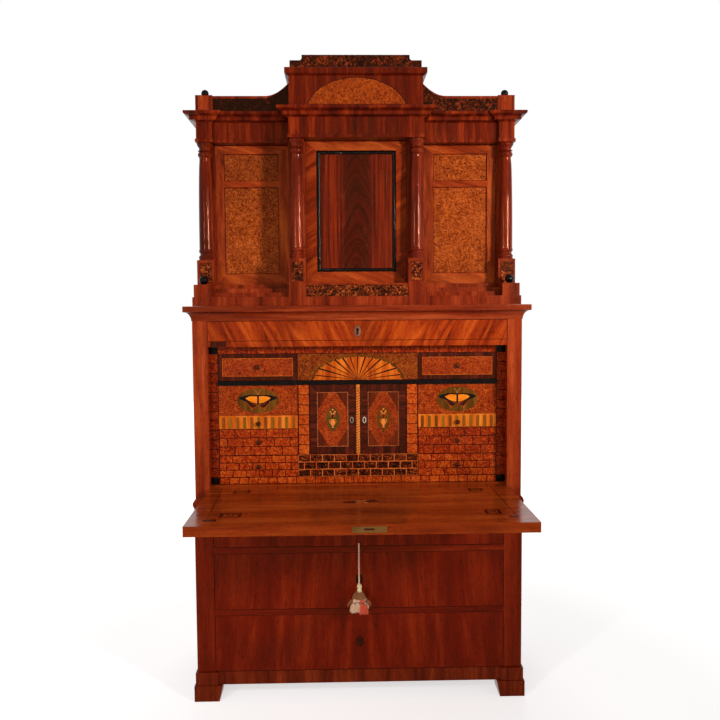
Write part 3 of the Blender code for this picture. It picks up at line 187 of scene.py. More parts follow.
# %% [markdown]
# ## Wood figure
# Sawn wood shows three things at once: broad ribbons of light and dark, finer streaks in them, and short
# dark pores. All run along the grain. One noise pattern, stretched along the grain, gives each of them.
# Stretch says how many times the pattern repeats in a metre along x, y and z, so a small number marks the
# grain's direction.

# %% The wood figure group
def build_wood_figure():
    takes = {"Point": None, "Stretch": None, "Swirl": 0.6, "Seed": 0}
    group, take, give = new_group("Wood figure", takes, "Tone Pores Height")
    place = steer(group, "MULTIPLY", take["Point"], take["Stretch"])

    def grain(scale, detail, swirl, seed_step):
        seed = reckon(group, "ADD", take["Seed"], seed_step)
        return noise(group, Vector=place, W=seed, Scale=scale, Detail=detail, Distortion=swirl)

    ribbons, streaks = grain(1, 3, take["Swirl"], 0), grain(4.5, 3, 0.4, 5.3)
    fine, pores = grain(18, 2, 0.1, 9.1), grain(34, 0, 0, 13.7)
    mixed = weighed(group, (ribbons, 0.6), (streaks, 0.28), (fine, 0.12))
    feed(group, give, {
        "Tone": spread(group, mixed, 0.36, 0.64),
        "Pores": spread(group, pores, 0.62, 0.72),
        "Height": reckon(group, "SUBTRACT", fine, spread(group, pores, 0.6, 0.75)),
    })
    return group


wood_figure = build_wood_figure()
print("built", wood_figure.name)

# %% [markdown]
# ## Burl figure
# Burl comes from growths on the trunk, where hundreds of small buds crowd together. The cut sheet shows
# curling grain and dark eyes, with no direction. Noise that is bent by another noise gives the curls, and a
# cell pattern gives the eyes, kept only where a slow noise says that the buds stood close.

# %% The burl figure group
def build_burl_figure():
    takes = {"Point": None, "Size": 120, "Eyes": 0.6, "Seed": 0}
    group, take, give = new_group("Burl figure", takes, "Tone Height")
    at = {"Vector": take["Point"], "W": take["Seed"]}
    slow, cell = reckon(group, "MULTIPLY", take["Size"], 0.16), reckon(group, "MULTIPLY", take["Size"], 1.5)
    curls = noise(group, **at, Scale=take["Size"], Detail=5, Roughness=0.62, Distortion=1.6)
    drift = noise(group, **at, Scale=slow, Detail=3, Distortion=0.8)
    cells = put(group, "ShaderNodeTexVoronoi", {**at, "Scale": cell}, voronoi_dimensions="4D").outputs
    eyes = spread(group, cells["Distance"], 0.34, 0.12)
    eyes = reckon(group, "MULTIPLY", eyes, spread(group, drift, 0.44, 0.62))
    base = spread(group, weighed(group, (curls, 0.82), (drift, 0.18)), 0.39, 0.61)
    darkened = reckon(group, "SUBTRACT", base, reckon(group, "MULTIPLY", eyes, take["Eyes"]))
    height = reckon(group, "SUBTRACT", curls, eyes)
    feed(group, give, {"Tone": spread(group, darkened, 0, 1), "Height": height})
    return group


burl_figure = build_burl_figure()
print("built", burl_figure.name)

# %% [markdown]
# ## Varnish and wear
# Shellac is rubbed on in thin coats. It never lies quite flat, hands dull it in patches, and dark wax stays
# in the hollows. The group gives a dull share for the roughness, a grime share that darkens the colour, and
# a slow wave that bends reflections a little.

# %% The varnish group
def build_varnish_wear():
    group, take, give = new_group("Varnish wear", {"Point": None, "Seed": 0}, "Dull Grime Wave")
    at = {"Vector": take["Point"], "W": take["Seed"]}
    dulled = noise(group, **at, Scale=9, Detail=5, Roughness=0.6)
    dirty = noise(group, **at, Scale=3.2, Detail=6, Distortion=0.5)
    feed(group, give, {
        "Dull": spread(group, dulled, 0.42, 0.68),
        "Grime": spread(group, dirty, 0.5, 0.72),
        "Wave": noise(group, **at, Scale=26, Detail=1),
    })
    return group


varnish_wear = build_varnish_wear()
print("built", varnish_wear.name)

# %% [markdown]
# ## From figure to finish
# Every veneer ends in the same way: figure to colour, wear to roughness, and both to a very small bump
# under one Principled shader. Old shellac is warm, so its reflection straight on is tinted. The strength
# and tint of that gloss are the same all over, so they are set on the shader itself. Each finish is kept
# under its name, together with a slot name.

# %% Helpers for finishes
GLOSS_TINT = "ffa06e"
DIRT = "1e0a05"
# Painted shade of the open flap: below a given height a wood's colour is multiplied by this tone, darker and
# redder, fading in over this height.
FLAP_SHADE_TONE = "deaca0"
FLAP_SHADE_FADE = 0.05
OAK = "623e22 92623a b08054"
DARK_KNOB = "160907 3a1810"
BUMP_DEPTH, WAVE_DEPTH = 0.00012, 0.0006
DULLED_BY = 0.14
UPRIGHT, LEVEL = (26, 26, 1.7), (1.7, 26, 26)
finishes = {}


def start(name, slot):
    """A new finish: its tree, its shader and the point that is being shaded, in the piece's own metres."""
    material = bpy.data.materials.new(name)
    material.use_nodes = True
    finishes[name] = (material, slot)
    tree = material.node_tree
    return tree, tree.nodes["Principled BSDF"], put(tree, "ShaderNodeTexCoord").outputs["Object"]


def bumped(tree, height, distance, **feeds):
    """A normal from a height that is given in metres."""
    return put(tree, "ShaderNodeBump", {"Height": height, "Distance": distance, **feeds}).outputs[0]


def varnished(tree, shader, point, shade, height, seed, rough=0.2, gloss=0.2, grime=0.35, tint=GLOSS_TINT):
    """Feeds a shader with a colour and a height under worn shellac."""
    worn = place_group(tree, varnish_wear, Point=point, Seed=seed)
    wavy = bumped(tree, worn["Wave"], WAVE_DEPTH, Strength=0.5)
    feed(tree, shader.inputs, {
        "Base Color": blended(tree, reckon(tree, "MULTIPLY", worn["Grime"], grime), shade, colour(DIRT)),
        "Roughness": reckon(tree, "MULTIPLY_ADD", worn["Dull"], DULLED_BY, rough),
        "Normal": bumped(tree, height, BUMP_DEPTH, Normal=wavy),
        "Specular IOR Level": gloss,
        "Specular Tint": colour(tint),
    })


def leaned(tree, point, lean):
    """Turns the pattern in the plane of the front, by an angle in degrees."""
    if not lean:
        return point
    feeds = {"Vector": point, "Rotation": (0, math.radians(lean), 0)}
    return put(tree, "ShaderNodeMapping", feeds).outputs[0]


def wood(name, words, seed, slot="mahogany", stretch=UPRIGHT, swirl=0.6, lean=0, pores=0.5, matched=False,
         oak_behind=None, knob_before=None, redder_below=None, **varnish):
    """A varnished wood. A drawer's solid is oak behind its front board and has a dark knob before its face.
    Two matched sheets show the same figure left and right of the middle, like an opened book."""
    tree, shader, point = start(name, slot)
    cut = leaned(tree, steer(tree, "ABSOLUTE", point) if matched else point, lean)
    grain = place_group(tree, wood_figure, Point=cut, Stretch=stretch, Swirl=swirl, Seed=seed)
    shade = toned(tree, grain["Tone"], words)
    pored = reckon(tree, "MULTIPLY", grain["Pores"], pores)
    shade = blended(tree, pored, shade, colour(words.split()[0]), "MULTIPLY")
    depth, height = put(tree, "ShaderNodeSeparateXYZ", {"Vector": point}).outputs[1:]
    # Below a given height the colour is multiplied darker and redder: painted shade of the open flap on the
    # case under it.
    if redder_below is not None:
        below = spread(tree, height, redder_below, redder_below - FLAP_SHADE_FADE)
        shade = blended(tree, below, shade, colour(FLAP_SHADE_TONE), "MULTIPLY")
    if oak_behind is not None:
        behind = reckon(tree, "GREATER_THAN", depth, oak_behind)
        shade = blended(tree, behind, shade, toned(tree, grain["Tone"], OAK))
    if knob_before is not None:
        before = reckon(tree, "LESS_THAN", depth, knob_before)
        shade = blended(tree, before, shade, toned(tree, grain["Tone"], DARK_KNOB))
    varnished(tree, shader, point, shade, grain["Height"], seed, **varnish)


def burl(name, words, size, eyes, seed, slot="dark_burl"):
    """A varnished burl. Each tile of a mosaic may carry its own tone, as a number on its faces."""
    tree, shader, point = start(name, slot)
    tile = put(tree, "ShaderNodeAttribute", (), attribute_name="tile_tone").outputs["Fac"]
    jump = put(tree, "ShaderNodeCombineXYZ", {"Y": reckon(tree, "MULTIPLY", tile, 7.3)}).outputs[0]
    moved = steer(tree, "ADD", point, jump)
    figure = place_group(tree, burl_figure, Point=moved, Size=size, Eyes=eyes, Seed=seed)
    shade = toned(tree, reckon(tree, "ADD", figure["Tone"], reckon(tree, "MULTIPLY", tile, 0.34)), words)
    varnished(tree, shader, point, shade, figure["Height"], seed, grime=0.3)


print("finish helpers ready")

# %% [markdown]
# ## Silk threads
# The key hangs on a twisted silk cord with a tassel. Silk is bright and soft, with threads too fine to
# model one by one. The thread pattern is a noise stretched along the fall of the thread, and a little sheen
# does the rest.

# %% Silks of the cord and the tassel
THREAD_STRETCH, THREAD_DEPTH = (900, 900, 90), 0.0003
SILKS = {
    "cream_silk": "e8aa82 fad0aa ffecd2",
    "straw_silk": "e8be7c fee8b0 fff8dc",
    "coral_silk": "be3c22 ec5c3a fc8a62",
    "brown_silk": "46200c 965a2a d89658",
    "black_thread": "080505 18100e 2e221e",
}
for number, (name, words) in enumerate(SILKS.items()):
    tree, shader, point = start(name, "cream_silk")
    threads = place_group(tree, wood_figure, Point=point, Stretch=THREAD_STRETCH, Swirl=0.3, Seed=2 * number)
    feed(tree, shader.inputs, {
        "Base Color": toned(tree, threads["Tone"], words),
        "Roughness": spread(tree, threads["Tone"], 0, 1, 0.7, 0.5),
        "Normal": bumped(tree, threads["Tone"], THREAD_DEPTH, Strength=0.6),
        "Specular IOR Level": 0.3,
        "Sheen Weight": 0.25,
    })
print("silks:", ", ".join(SILKS))

# %% [markdown]
# ## Making a mesh
# Pieces are made from points and faces. One helper turns them into an object that rides on a CAD body, and
# one makes round tubes along a line, which is all that threads and rings need. Most shapes are rings of
# points, one after the other, so one helper lays the faces between neighbouring rings.

# %% Helpers for meshes
SMOOTH_BELOW, FINEST = 40, 0.00001


def new_object(name, shape, material):
    """An object from points and faces, with one material."""
    mesh = bpy.data.meshes.new(name)
    mesh.from_pydata([tuple(point) for point in shape[0]], [], shape[1])
    mesh.materials.append(material)
    made = bpy.data.objects.new(name, mesh)
    scene.collection.objects.link(made)
    return made


def piece(name, shape, body, finish, smooth=False, tones=None):
    """Makes one object, lays its finish on it and lets it ride on a body."""
    material, usual_slot = finishes[finish]
    made = new_object(name, shape, material)
    if smooth:
        made.data.shade_smooth()
        made.data.set_sharp_from_angle(angle=math.radians(SMOOTH_BELOW))
    if tones:
        made.data.attributes.new("tile_tone", "FLOAT", "FACE").data.foreach_set("value", tones)
    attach(made, body)
    return made


def bands(rings, sides, closed=False):
    """Faces between neighbouring rings of points. closed joins the last to the first, else both get caps."""
    faces = []
    for ring in range(rings if closed else rings - 1):
        here, there = ring * sides, (ring + 1) % rings * sides
        for corner in range(sides):
            beside = (corner + 1) % sides
            faces.append((here + corner, here + beside, there + beside, there + corner))
    if not closed:
        faces += [tuple(reversed(range(sides))), tuple(range((rings - 1) * sides, rings * sides))]
    return faces


def turns(steps):
    """Angles all round, in equal steps."""
    return [math.tau * step / steps for step in range(steps)]


def tube(line, radius, sides=8, closed=False):
    """A round tube along a line. radius is a number, or one number for each point."""
    line = [Vector(p) for p in line]
    count = len(line)
    radii = [radius] * count if isinstance(radius, (int, float)) else radius
    points = []
    side = None
    for step, place in enumerate(line):
        before = line[step - 1] if step or closed else line[step]
        after = line[(step + 1) % count] if step + 1 < count or closed else line[step]
        ahead = (after - before).normalized()
        if side is None:
            side = ahead.orthogonal()
        side = (side - ahead * side.dot(ahead)).normalized()
        up = ahead.cross(side)
        for angle in turns(sides):
            points.append(place + (side * math.cos(angle) + up * math.sin(angle)) * radii[step])
    return points, bands(count, sides, closed)


def joined(parts):
    """Several lots of points and faces as one lot."""
    points, faces = [], []
    for some_points, some_faces in parts:
        shift = len(points)
        points += some_points
        faces += [tuple(shift + corner for corner in face) for face in some_faces]
    return points, faces


def lathe(profile, centre, steps=48):
    """A turned solid. profile lists (height, radius) from the foot up; centre is the foot's middle."""
    points = []
    for height, radius in profile:
        for angle in turns(steps):
            place = Vector((math.cos(angle), math.sin(angle), 0)) * max(radius, FINEST)
            points.append(Vector(centre) + place + Vector((0, 0, height)))
    return points, bands(len(profile), steps)


print("mesh helpers ready")

# %% [markdown]
# ## The cord on the key
# The cord leaves the key's ring and hangs 145 mm to its knots, as the photograph shows from end to end. It
# is two silk plies laid round each other. A plain tube would show no twist, so two thinner tubes wind round
# the same line.

# %% Twist the cord
CORD_X, CORD_Y = -0.0026, -0.07365
CORD_TOP, CORD_FOOT = 0.5755, 0.4303
PLY_RADIUS, PLY_SWING = 0.00155, 0.00145
PLY_TURN, PLY_STEP = 0.0105, 0.0011

cord_length = CORD_TOP - CORD_FOOT


def ply(phase):
    """One ply of the cord, winding down round the middle line."""
    count = round(cord_length / PLY_STEP)
    line = []
    for step in range(count + 1):
        fall = cord_length * step / count
        angle = math.tau * fall / PLY_TURN + phase
        x, y = CORD_X + PLY_SWING * math.cos(angle), CORD_Y + PLY_SWING * math.sin(angle)
        line.append((x, y, CORD_TOP - fall))
    return tube(line, PLY_RADIUS, 8)


silk_cord = piece("silk_cord", joined([ply(0), ply(math.pi)]), "drawer_top", "cream_silk", smooth=True)
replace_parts(silk_cord, "tassel_cord")
print("cord is", round(cord_length * 1000), "mm long")

# %% [markdown]
# ## The tassel
# From the top down: two knots, a woven brown dome, and small tied tufts of cream and coral threads all
# round, with a few loose brown threads. A knot is a line that winds three times round a ring while it turns
# four times round the ring's middle. Each tuft is a bundle of threads that leaves the dome, is drawn in by
# a black tie, and opens again under its own weight.

# %% Knots and dome
KNOT_STEPS, KNOT_ROUNDS, KNOT_WAVES, KNOT_SWING = 120, 3, 4, 0.35
KNOTS = [(0.4215, 0.0176, 0.0176, 0.0024), (0.4065, 0.0172, 0.0140, 0.0023)]
KNOT_X = CORD_X + 0.0008
DOME_X = CORD_X - 0.0005
DOME_ROWS = [(0.4010, 0.0090), (0.3978, 0.0122), (0.3946, 0.0150), (0.3914, 0.0172), (0.3882, 0.0188),
             (0.3850, 0.0200), (0.3822, 0.0206)]
DOME_CORE = [(0, 0.0195), (0.012, 0.0165), (0.020, 0.0100), (0.0205, 0.0040)]
CORE_FOOT = 0.3805
STITCHES, STITCH_STEPS = 26, 6
ROW_RADIUS, ROW_LIFT = 0.0020, 0.0007


def knot(height, wide, tall, strand):
    """A woven ball from one closed strand."""
    line = []
    room = wide / 2 - strand
    for angle in turns(KNOT_STEPS):
        out = room * (1 - KNOT_SWING) + room * KNOT_SWING * math.cos(KNOT_WAVES * angle)
        around = KNOT_ROUNDS * angle
        line.append((KNOT_X + out * math.cos(around), CORD_Y + out * math.sin(around),
                     height + (tall / 2 - strand) * math.sin(KNOT_WAVES * angle)))
    return tube(line, strand, 6, closed=True)


def woven_row(height, reach, turn_share):
    """One row of a basket weave: a ring whose thickness and reach run up and down over the stitches."""
    line, radii = [], []
    for angle in turns(STITCHES * STITCH_STEPS):
        lift = ROW_LIFT * math.sin(STITCHES * angle + turn_share * math.pi)
        out = reach + lift
        line.append((DOME_X + out * math.cos(angle), CORD_Y + out * math.sin(angle), height))
        radii.append(ROW_RADIUS + lift)
    return tube(line, radii, 6, closed=True)


knots = joined([knot(*sizes) for sizes in KNOTS])
dome = [woven_row(height, reach, row) for row, (height, reach) in enumerate(DOME_ROWS)]
dome.append(lathe(DOME_CORE, (DOME_X, CORD_Y, CORE_FOOT), 32))
tassel_parts = [
    piece("tassel_knots", knots, "drawer_top", "straw_silk", smooth=True),
    piece("tassel_dome", joined(dome), "drawer_top", "brown_silk", smooth=True),
]
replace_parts(tassel_parts[1], "tassel")
print("dome is", round(DOME_ROWS[-1][1] * 2000), "mm wide")

# %% Tied tufts
TASSEL_SEED = 11
RIM_HEIGHT, TIE_HEIGHT = 0.3835, 0.3695
TUFT_THREADS, THREAD_RADIUS, THREAD_UNEVEN = 110, 0.00075, 0.004
RIM_REACH, PUFFED_OUT, TIED_REACH = 0.006, 0.0035, 0.0042
DRAWN_IN, PUFFED_AT, SWELLS = 0.35, 0.45, ((0.35, 0.28), (0.75, 0.10))
TIE_RING, TIE_RADIUS, TIE_STEPS = 0.0047, 0.0011, 20
TIE_END = [(-0.001, -0.005, 0.0005), (0.003, -0.0065, -0.0020), (0.005, -0.0065, -0.0055)]
TIE_END_RADIUS = 0.0010
TUFTS = [
    ("tuft_cream_front", -0.0195, -0.0905, 0.0170, 0.3365, -0.001),
    ("tuft_coral_front", 0.0085, -0.0915, 0.0185, 0.3315, 0.003),
    ("tuft_coral_back", -0.0170, -0.0568, 0.0120, 0.3360, -0.003),
    ("tuft_cream_back", 0.0120, -0.0568, 0.0120, 0.3355, 0.003),
    ("tuft_cream_middle", -0.0060, -0.0860, 0.0130, 0.3370, 0.000),
    ("tuft_cream_right", 0.0190, -0.0740, 0.0090, 0.3440, 0.004),
]
random.seed(TASSEL_SEED)


def tuft(x, y, wide, foot, lean):
    """Threads from the dome's rim, drawn in at the tie over (x, y), opening towards the foot."""
    parts = []
    inward = Vector((DOME_X - x, CORD_Y - y, 0)) * DRAWN_IN
    for _ in range(TUFT_THREADS):
        angle, share = random.uniform(0, math.tau), math.sqrt(random.random())
        out = Vector((math.cos(angle) * share, math.sin(angle) * share, 0))
        start_at = Vector((x, y, RIM_HEIGHT)) + inward + out * RIM_REACH
        tied = Vector((x, y, TIE_HEIGHT)) + out * TIED_REACH
        below = Vector((x + lean, y, foot + random.uniform(0, THREAD_UNEVEN))) + out * wide
        puffed = start_at.lerp(tied, PUFFED_AT) + out * PUFFED_OUT
        swells = [tied.lerp(below, down) + out * wide * swell for down, swell in SWELLS]
        parts.append(tube([start_at, puffed, tied, *swells, below], THREAD_RADIUS, 4))
    return joined(parts)


ties = []
for name, x, y, wide, foot, lean in TUFTS:
    silk = "coral_silk" if "coral" in name else "cream_silk"
    tassel_parts.append(piece(name, tuft(x, y, wide, foot, lean), "drawer_top", silk, smooth=True))
    ring = [(x + TIE_RING * math.cos(a), y + TIE_RING * math.sin(a), TIE_HEIGHT) for a in turns(TIE_STEPS)]
    ties.append(tube(ring, TIE_RADIUS, 6, closed=True))
    ties.append(tube([(x + u, y + v, TIE_HEIGHT + w) for u, v, w in TIE_END], TIE_END_RADIUS, 6))
tassel_parts.append(piece("tassel_ties", joined(ties), "drawer_top", "black_thread", smooth=True))

# %% Loose threads at both sides
LOOSE_THREADS, LOOSE_RADIUS, LOOSE_BULGE = 16, 0.00065, 0.001
# How far out, how far back and how high the ends are, and how much the lower end varies.
LOOSE_TOP, LOOSE_FOOT = (0.018, -0.004, 0.3840), (0.028, -0.006, 0.3500)
LOOSE_SPAN = (0.017, (-0.010, 0.002), 0.0180)
loose = []
for way in (-1, 1):
    for _ in range(LOOSE_THREADS):
        out = way * (LOOSE_FOOT[0] + LOOSE_SPAN[0] * random.random())
        forward = LOOSE_FOOT[1] + random.uniform(*LOOSE_SPAN[1])
        top = Vector((DOME_X + way * LOOSE_TOP[0], CORD_Y + LOOSE_TOP[1], LOOSE_TOP[2]))
        foot = Vector((DOME_X + out, CORD_Y + forward, LOOSE_FOOT[2] + LOOSE_SPAN[2] * random.random()))
        middle = top.lerp(foot, 0.5) + Vector((way * LOOSE_BULGE, 0, LOOSE_BULGE))
        loose.append(tube([top, middle, foot], LOOSE_RADIUS, 4))
tassel_parts.append(piece("tassel_threads", joined(loose), "drawer_top", "brown_silk", smooth=True))
print("tassel has", len(tassel_parts), "pieces")

# %% [markdown]
# ## The tassel's own meshes
# The tassel hangs in front of the middle drawer. When that drawer is pulled out, it lifts the tassel. A cord
# can't bend on its own here. The cord and every part of the tassel get a mesh of their own.

for part in [silk_cord] + tassel_parts:
    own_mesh(part)

# %% [markdown]
# ## Room and light
# The piece stands on a pale floor in soft studio light. Softboxes left and right of the camera draw the
# bright lines on the columns. A wide one in front fills the shadows without showing in the varnish, one
# lights the back, and a dim pale sky does the rest. The background is white because rays that see it
# directly, or in a reflection, get a sky of strength 1, and not because more light is used. The floor glows
# more the further it is from the piece, for the same rays only, so it fades into that white and keeps the
# shadow.

# %% Floor and sky
FLOOR_HALF = 9
FLOOR_GLOW = 0.62
NEAR, FAR = 1.2, 3.4
SKY_FILL = 0.23
WHITE = colour("ffffff")


def seen_directly(tree):
    """1 for rays from the camera, from a reflection or through glass."""
    path = put(tree, "ShaderNodeLightPath").outputs
    some = reckon(tree, "MAXIMUM", path["Is Camera Ray"], path["Is Glossy Ray"])
    return reckon(tree, "MAXIMUM", some, path["Is Transmission Ray"])


tree, shader, point = start("pale_floor", "floor")
cloud = put(tree, "ShaderNodeTexNoise", {"Vector": point, "Scale": 1.5, "Detail": 4}).outputs["Fac"]
away = put(tree, "ShaderNodeVectorMath", {0: point}, operation="LENGTH").outputs["Value"]
glow = spread(tree, away, NEAR, FAR, FLOOR_GLOW, 1)
feed(tree, shader.inputs, {
    "Base Color": toned(tree, cloud, "f6f5f3 fcfbfa"),
    "Roughness": 0.9,
    "Specular IOR Level": 0.1,
    "Emission Color": WHITE,
    "Emission Strength": reckon(tree, "MULTIPLY", seen_directly(tree), glow),
})
corners = [(x * FLOOR_HALF, y * FLOOR_HALF, 0) for x, y in ((-1, -1), (1, -1), (1, 1), (-1, 1))]
floor = new_object("floor", (corners, [(0, 1, 2, 3)]), finishes["pale_floor"][0])

scene.world = bpy.data.worlds.new("studio")
scene.world.use_nodes = True
tree = scene.world.node_tree
feed(tree, tree.nodes["Background"].inputs, {
    "Color": WHITE,
    "Strength": spread(tree, seen_directly(tree), 0, 1, SKY_FILL, 1),
})
print("floor and sky ready")

# %% Softboxes
def softbox(name, place, aim, width, height, watts, spread_angle=180, mirrored_in_gloss=True):
    """A rectangular lamp that looks from its place at a point."""
    lamp = bpy.data.lights.new(name, "AREA")
    lamp.shape = "RECTANGLE"
    lamp.size, lamp.size_y = width, height
    lamp.energy = watts
    lamp.spread = math.radians(spread_angle)
    made = bpy.data.objects.new(name, lamp)
    made.location = place
    made.rotation_euler = (Vector(aim) - Vector(place)).to_track_quat("-Z", "Y").to_euler()
    made.visible_glossy = mirrored_in_gloss
    scene.collection.objects.link(made)


softbox("softbox_left", (-1.7, -2.6, 1.93), (0, 0, 1.1), 0.16, 0.5, 8.6, 120)
softbox("softbox_right", (2.0, -2.35, 1.97), (0.1, 0, 1.75), 0.3, 0.5, 14.4, 62)
softbox("softbox_front", (-1.2, -3.2, 1.0), (0, 0, 0.6), 1.4, 0.9, 8, 110, mirrored_in_gloss=False)
softbox("softbox_back", (0.3, 3.4, 3.2), (0, 0.3, 1.2), 2.2, 1.4, 30)
print("four softboxes ready")

# %% [markdown]
# ## The woods
# The case is mahogany, with a red flame figure on the drawers and a browner, plainer sheet on the flap.
# Rosewood frames the little doors, satinwood makes the fan and the flutes, and burl fills the panels and
# the bricks. Unseen boards are oak. Every line gives the tones from dark to light, and what differs from a
# plain upright sheet.

# %% Woods of the case
LONG = {"oak_behind": -0.0121, "matched": True}
LITTLE_BOARD_BACK = -0.0047
IN_GALLERY = {"slot": "dark_burl", "oak_behind": 0.0424, "knob_before": 0.0278}
wood("mahogany", "4a0d04 74200a 983816", seed=1)
wood("attic_mahogany", "380802 581104 7a240a", seed=2)
# The stiles carry painted shade under the open flap: darker and redder below 0.76 m.
wood("stile_mahogany", "641807 8e2e10 ac4820", stretch=(20, 20, 1.4), swirl=0.9, seed=3, redder_below=0.76)
wood("level_mahogany", "541407 7c280f 9e421e", stretch=LEVEL, seed=5)
wood("banded_mahogany", "2e0602 5a1104 922e0d", stretch=(34, 34, 2.2), swirl=0.3, seed=7)
wood("drawer_mahogany", "5a0c03 721505 92280b", stretch=(12, 12, 1.3), swirl=1.6, seed=9, lean=4, **LONG)
wood("rail_mahogany", "560b03 6c1506 88240b", stretch=LEVEL, seed=10)
wood("flap_mahogany", "742609 9a3a0f ba5620", slot="flap_mahogany", stretch=(1.3, 15, 26), swirl=0.8, seed=11,
     rough=0.12, gloss=0.35)
wood("edge_mahogany", "631c05 842b08 9f4012", slot="flap_mahogany", stretch=LEVEL, swirl=0.8, seed=80)
wood("dark_line", "100402 1c0804 2c0e07", slot="flap_mahogany", seed=77, rough=0.12)
wood("frieze_mahogany", "5c1204 902c09 b84c14", stretch=(20, 20, 2.6), swirl=2.0, seed=13, lean=-26, **LONG)
wood("frame_mahogany", "3e0b03 701e06 983a10", stretch=(24, 24, 2.6), swirl=1.0, seed=15, lean=-58)
wood("column_mahogany", "360803 621606 8e3010", stretch=(22, 22, 1.4), swirl=0.5, seed=17, rough=0.07,
     gloss=0.16, tint="ffb08a")
wood("door_stile", "4e1206 802a0d a84818", stretch=(22, 22, 2.8), swirl=2.0, seed=45)
wood("door_rail", "5c1808 842c0d a8481a", stretch=(2.8, 24, 24), swirl=1.2, seed=47, lean=-18)
wood("oak", OAK, seed=19, rough=0.5)
wood("little_drawer", "3c0c05 5a1a0a", seed=54, oak_behind=LITTLE_BOARD_BACK)
wood("joint_wood", "180405 260607 360a09", seed=51, **IN_GALLERY)
wood("bright_joint", "aa3e14 c85c22 dc7a3a", seed=53, **IN_GALLERY)
print(len(finishes), "finishes so far")

# %% Woods of the marquetry
BLADES = {"slot": "satinwood", "stretch": (40, 40, 4), "pores": 0.2, "grime": 0.15}
wood("rosewood", "1a0604 3a0e08 622012", slot="dark_burl", stretch=(60, 60, 4), swirl=0.8, seed=21)
wood("satinwood", "a8420a d06214 ea862c", swirl=0.3, seed=23, **BLADES)
wood("fan_wood", "8a2e07 b84e0d d46e1e", seed=58, **BLADES)
wood("olive_wood", "402206 5e360a 764812", 25, "satinwood", (50, 50, 5), swirl=0.3, pores=0.2)
wood("knob_wood", "180906 30130c 4a2014", slot="dark_burl", seed=52, rough=0.1, gloss=0.3)
wood("wing_orange", "ce600e e67a14 f09228", slot="satinwood", stretch=(10, 40, 40), seed=63, grime=0.1)
wood("vase_wood", "be5416 de742c ec944e", slot="satinwood", seed=71, grime=0.1)
wood("bone", "603828 8c5c44 b48064", slot="brass", seed=79, rough=0.35)
wood("corner_mahogany", "3a0e05 561a09 702810", seed=69)
for side in ("left", "right"):
    wood(f"rosewood_across_{side}", "1e0805 3e1009 622012", 75, "dark_burl", (4, 60, 60), swirl=0.8)
wood("rope_brown", "74280a 963c10 ac501c", 55, "satinwood")
wood("rope_light", "b45418 ce6e26 e0863a", 56, "satinwood")
wood("deep_red", "1c0606 360a08 56140e", 59, "dark_burl")
wood("ray_wood", "220603 340b05 481208", 60, "dark_burl")
wood("pale_line", "a05226 be6c36 d4884e", 61, "satinwood")
wood("flute_brown", "682e0c 864412 9c581c", 67, "satinwood")
wood("flute_olive", "6c420e 8a5816 9e6a22", 68, "satinwood")
wood("dull_green", "2e220a 46340f 5c4818", 73, "satinwood")

burl("field_burl", "3a0f04 702608 943e12 b25a24", 160, 0.7, 1)
burl("brick_burl", "601105 882408 a83a0d c65a1a", 105, 0.35, 2, "brick_burl")
burl("door_burl", "480d04 88290b b24d1a", 170, 0.7, 3, "brick_burl")
burl("dark_burl", "060202 1a0804 68220b ac501e", 95, 0.9, 4)
burl("lunette_burl", "4e1605 822e0a a44814", 120, 0.7, 5)
burl("night_burl", "040202 140503 461307 823211", 80, 0.9, 6)
burl("fan_ground", "4e1805 782e0a 964816", 90, 0.4, 57)
burl("panel_burl", "541004 8c2c0a b85018", 125, 0.8, 65, "brick_burl")
print(len(finishes), "finishes so far")

# %% Ebonised wood, brass and steel
EBONY_SEED, METAL_DEPTH = 31, 0.0001
METALS = {
    "brass": ("845e30 5e4020 3a2613", "brass", 0.35, 33),
    "dark_steel": ("2e2420 1e1613 100b09", "dark_steel", 0.35, 35),
    "nickel": ("e2d6c4 beb09e 78685a", "brass", 0.3, 37),
}

tree, shader, point = start("ebonised", "ebonised")
grain = place_group(tree, wood_figure, Point=point, Stretch=UPRIGHT, Swirl=0.4, Seed=EBONY_SEED)
shade = toned(tree, grain["Tone"], "040202 080504 110b09")
varnished(tree, shader, point, shade, grain["Height"], EBONY_SEED, 0.12, gloss=0.09, grime=0.1, tint="ffecdc")
for name, (words, slot, rough, seed) in METALS.items():
    tree, shader, point = start(name, slot)
    worn = place_group(tree, varnish_wear, Point=point, Seed=seed)
    fine = put(tree, "ShaderNodeTexNoise", {"Vector": point, "Scale": 420, "Detail": 4}).outputs["Fac"]
    feed(tree, shader.inputs, {
        "Base Color": toned(tree, reckon(tree, "MULTIPLY_ADD", fine, 0.6, worn["Grime"]), words),
        "Roughness": reckon(tree, "MULTIPLY_ADD", worn["Dull"], 0.2, rough),
        "Normal": bumped(tree, fine, METAL_DEPTH, Strength=0.5),
        "Metallic": 1,
    })
print("ebonised wood and", ", ".join(METALS), "ready")

# %% [markdown]
# ## The solids get their woods
# Each CAD node keeps its shape and only gets a finish. A drawer is one solid, so its finish tells the front
# board, the oak behind it and the knob before it apart by depth. The table gives the beginnings of the
# nodes' names.

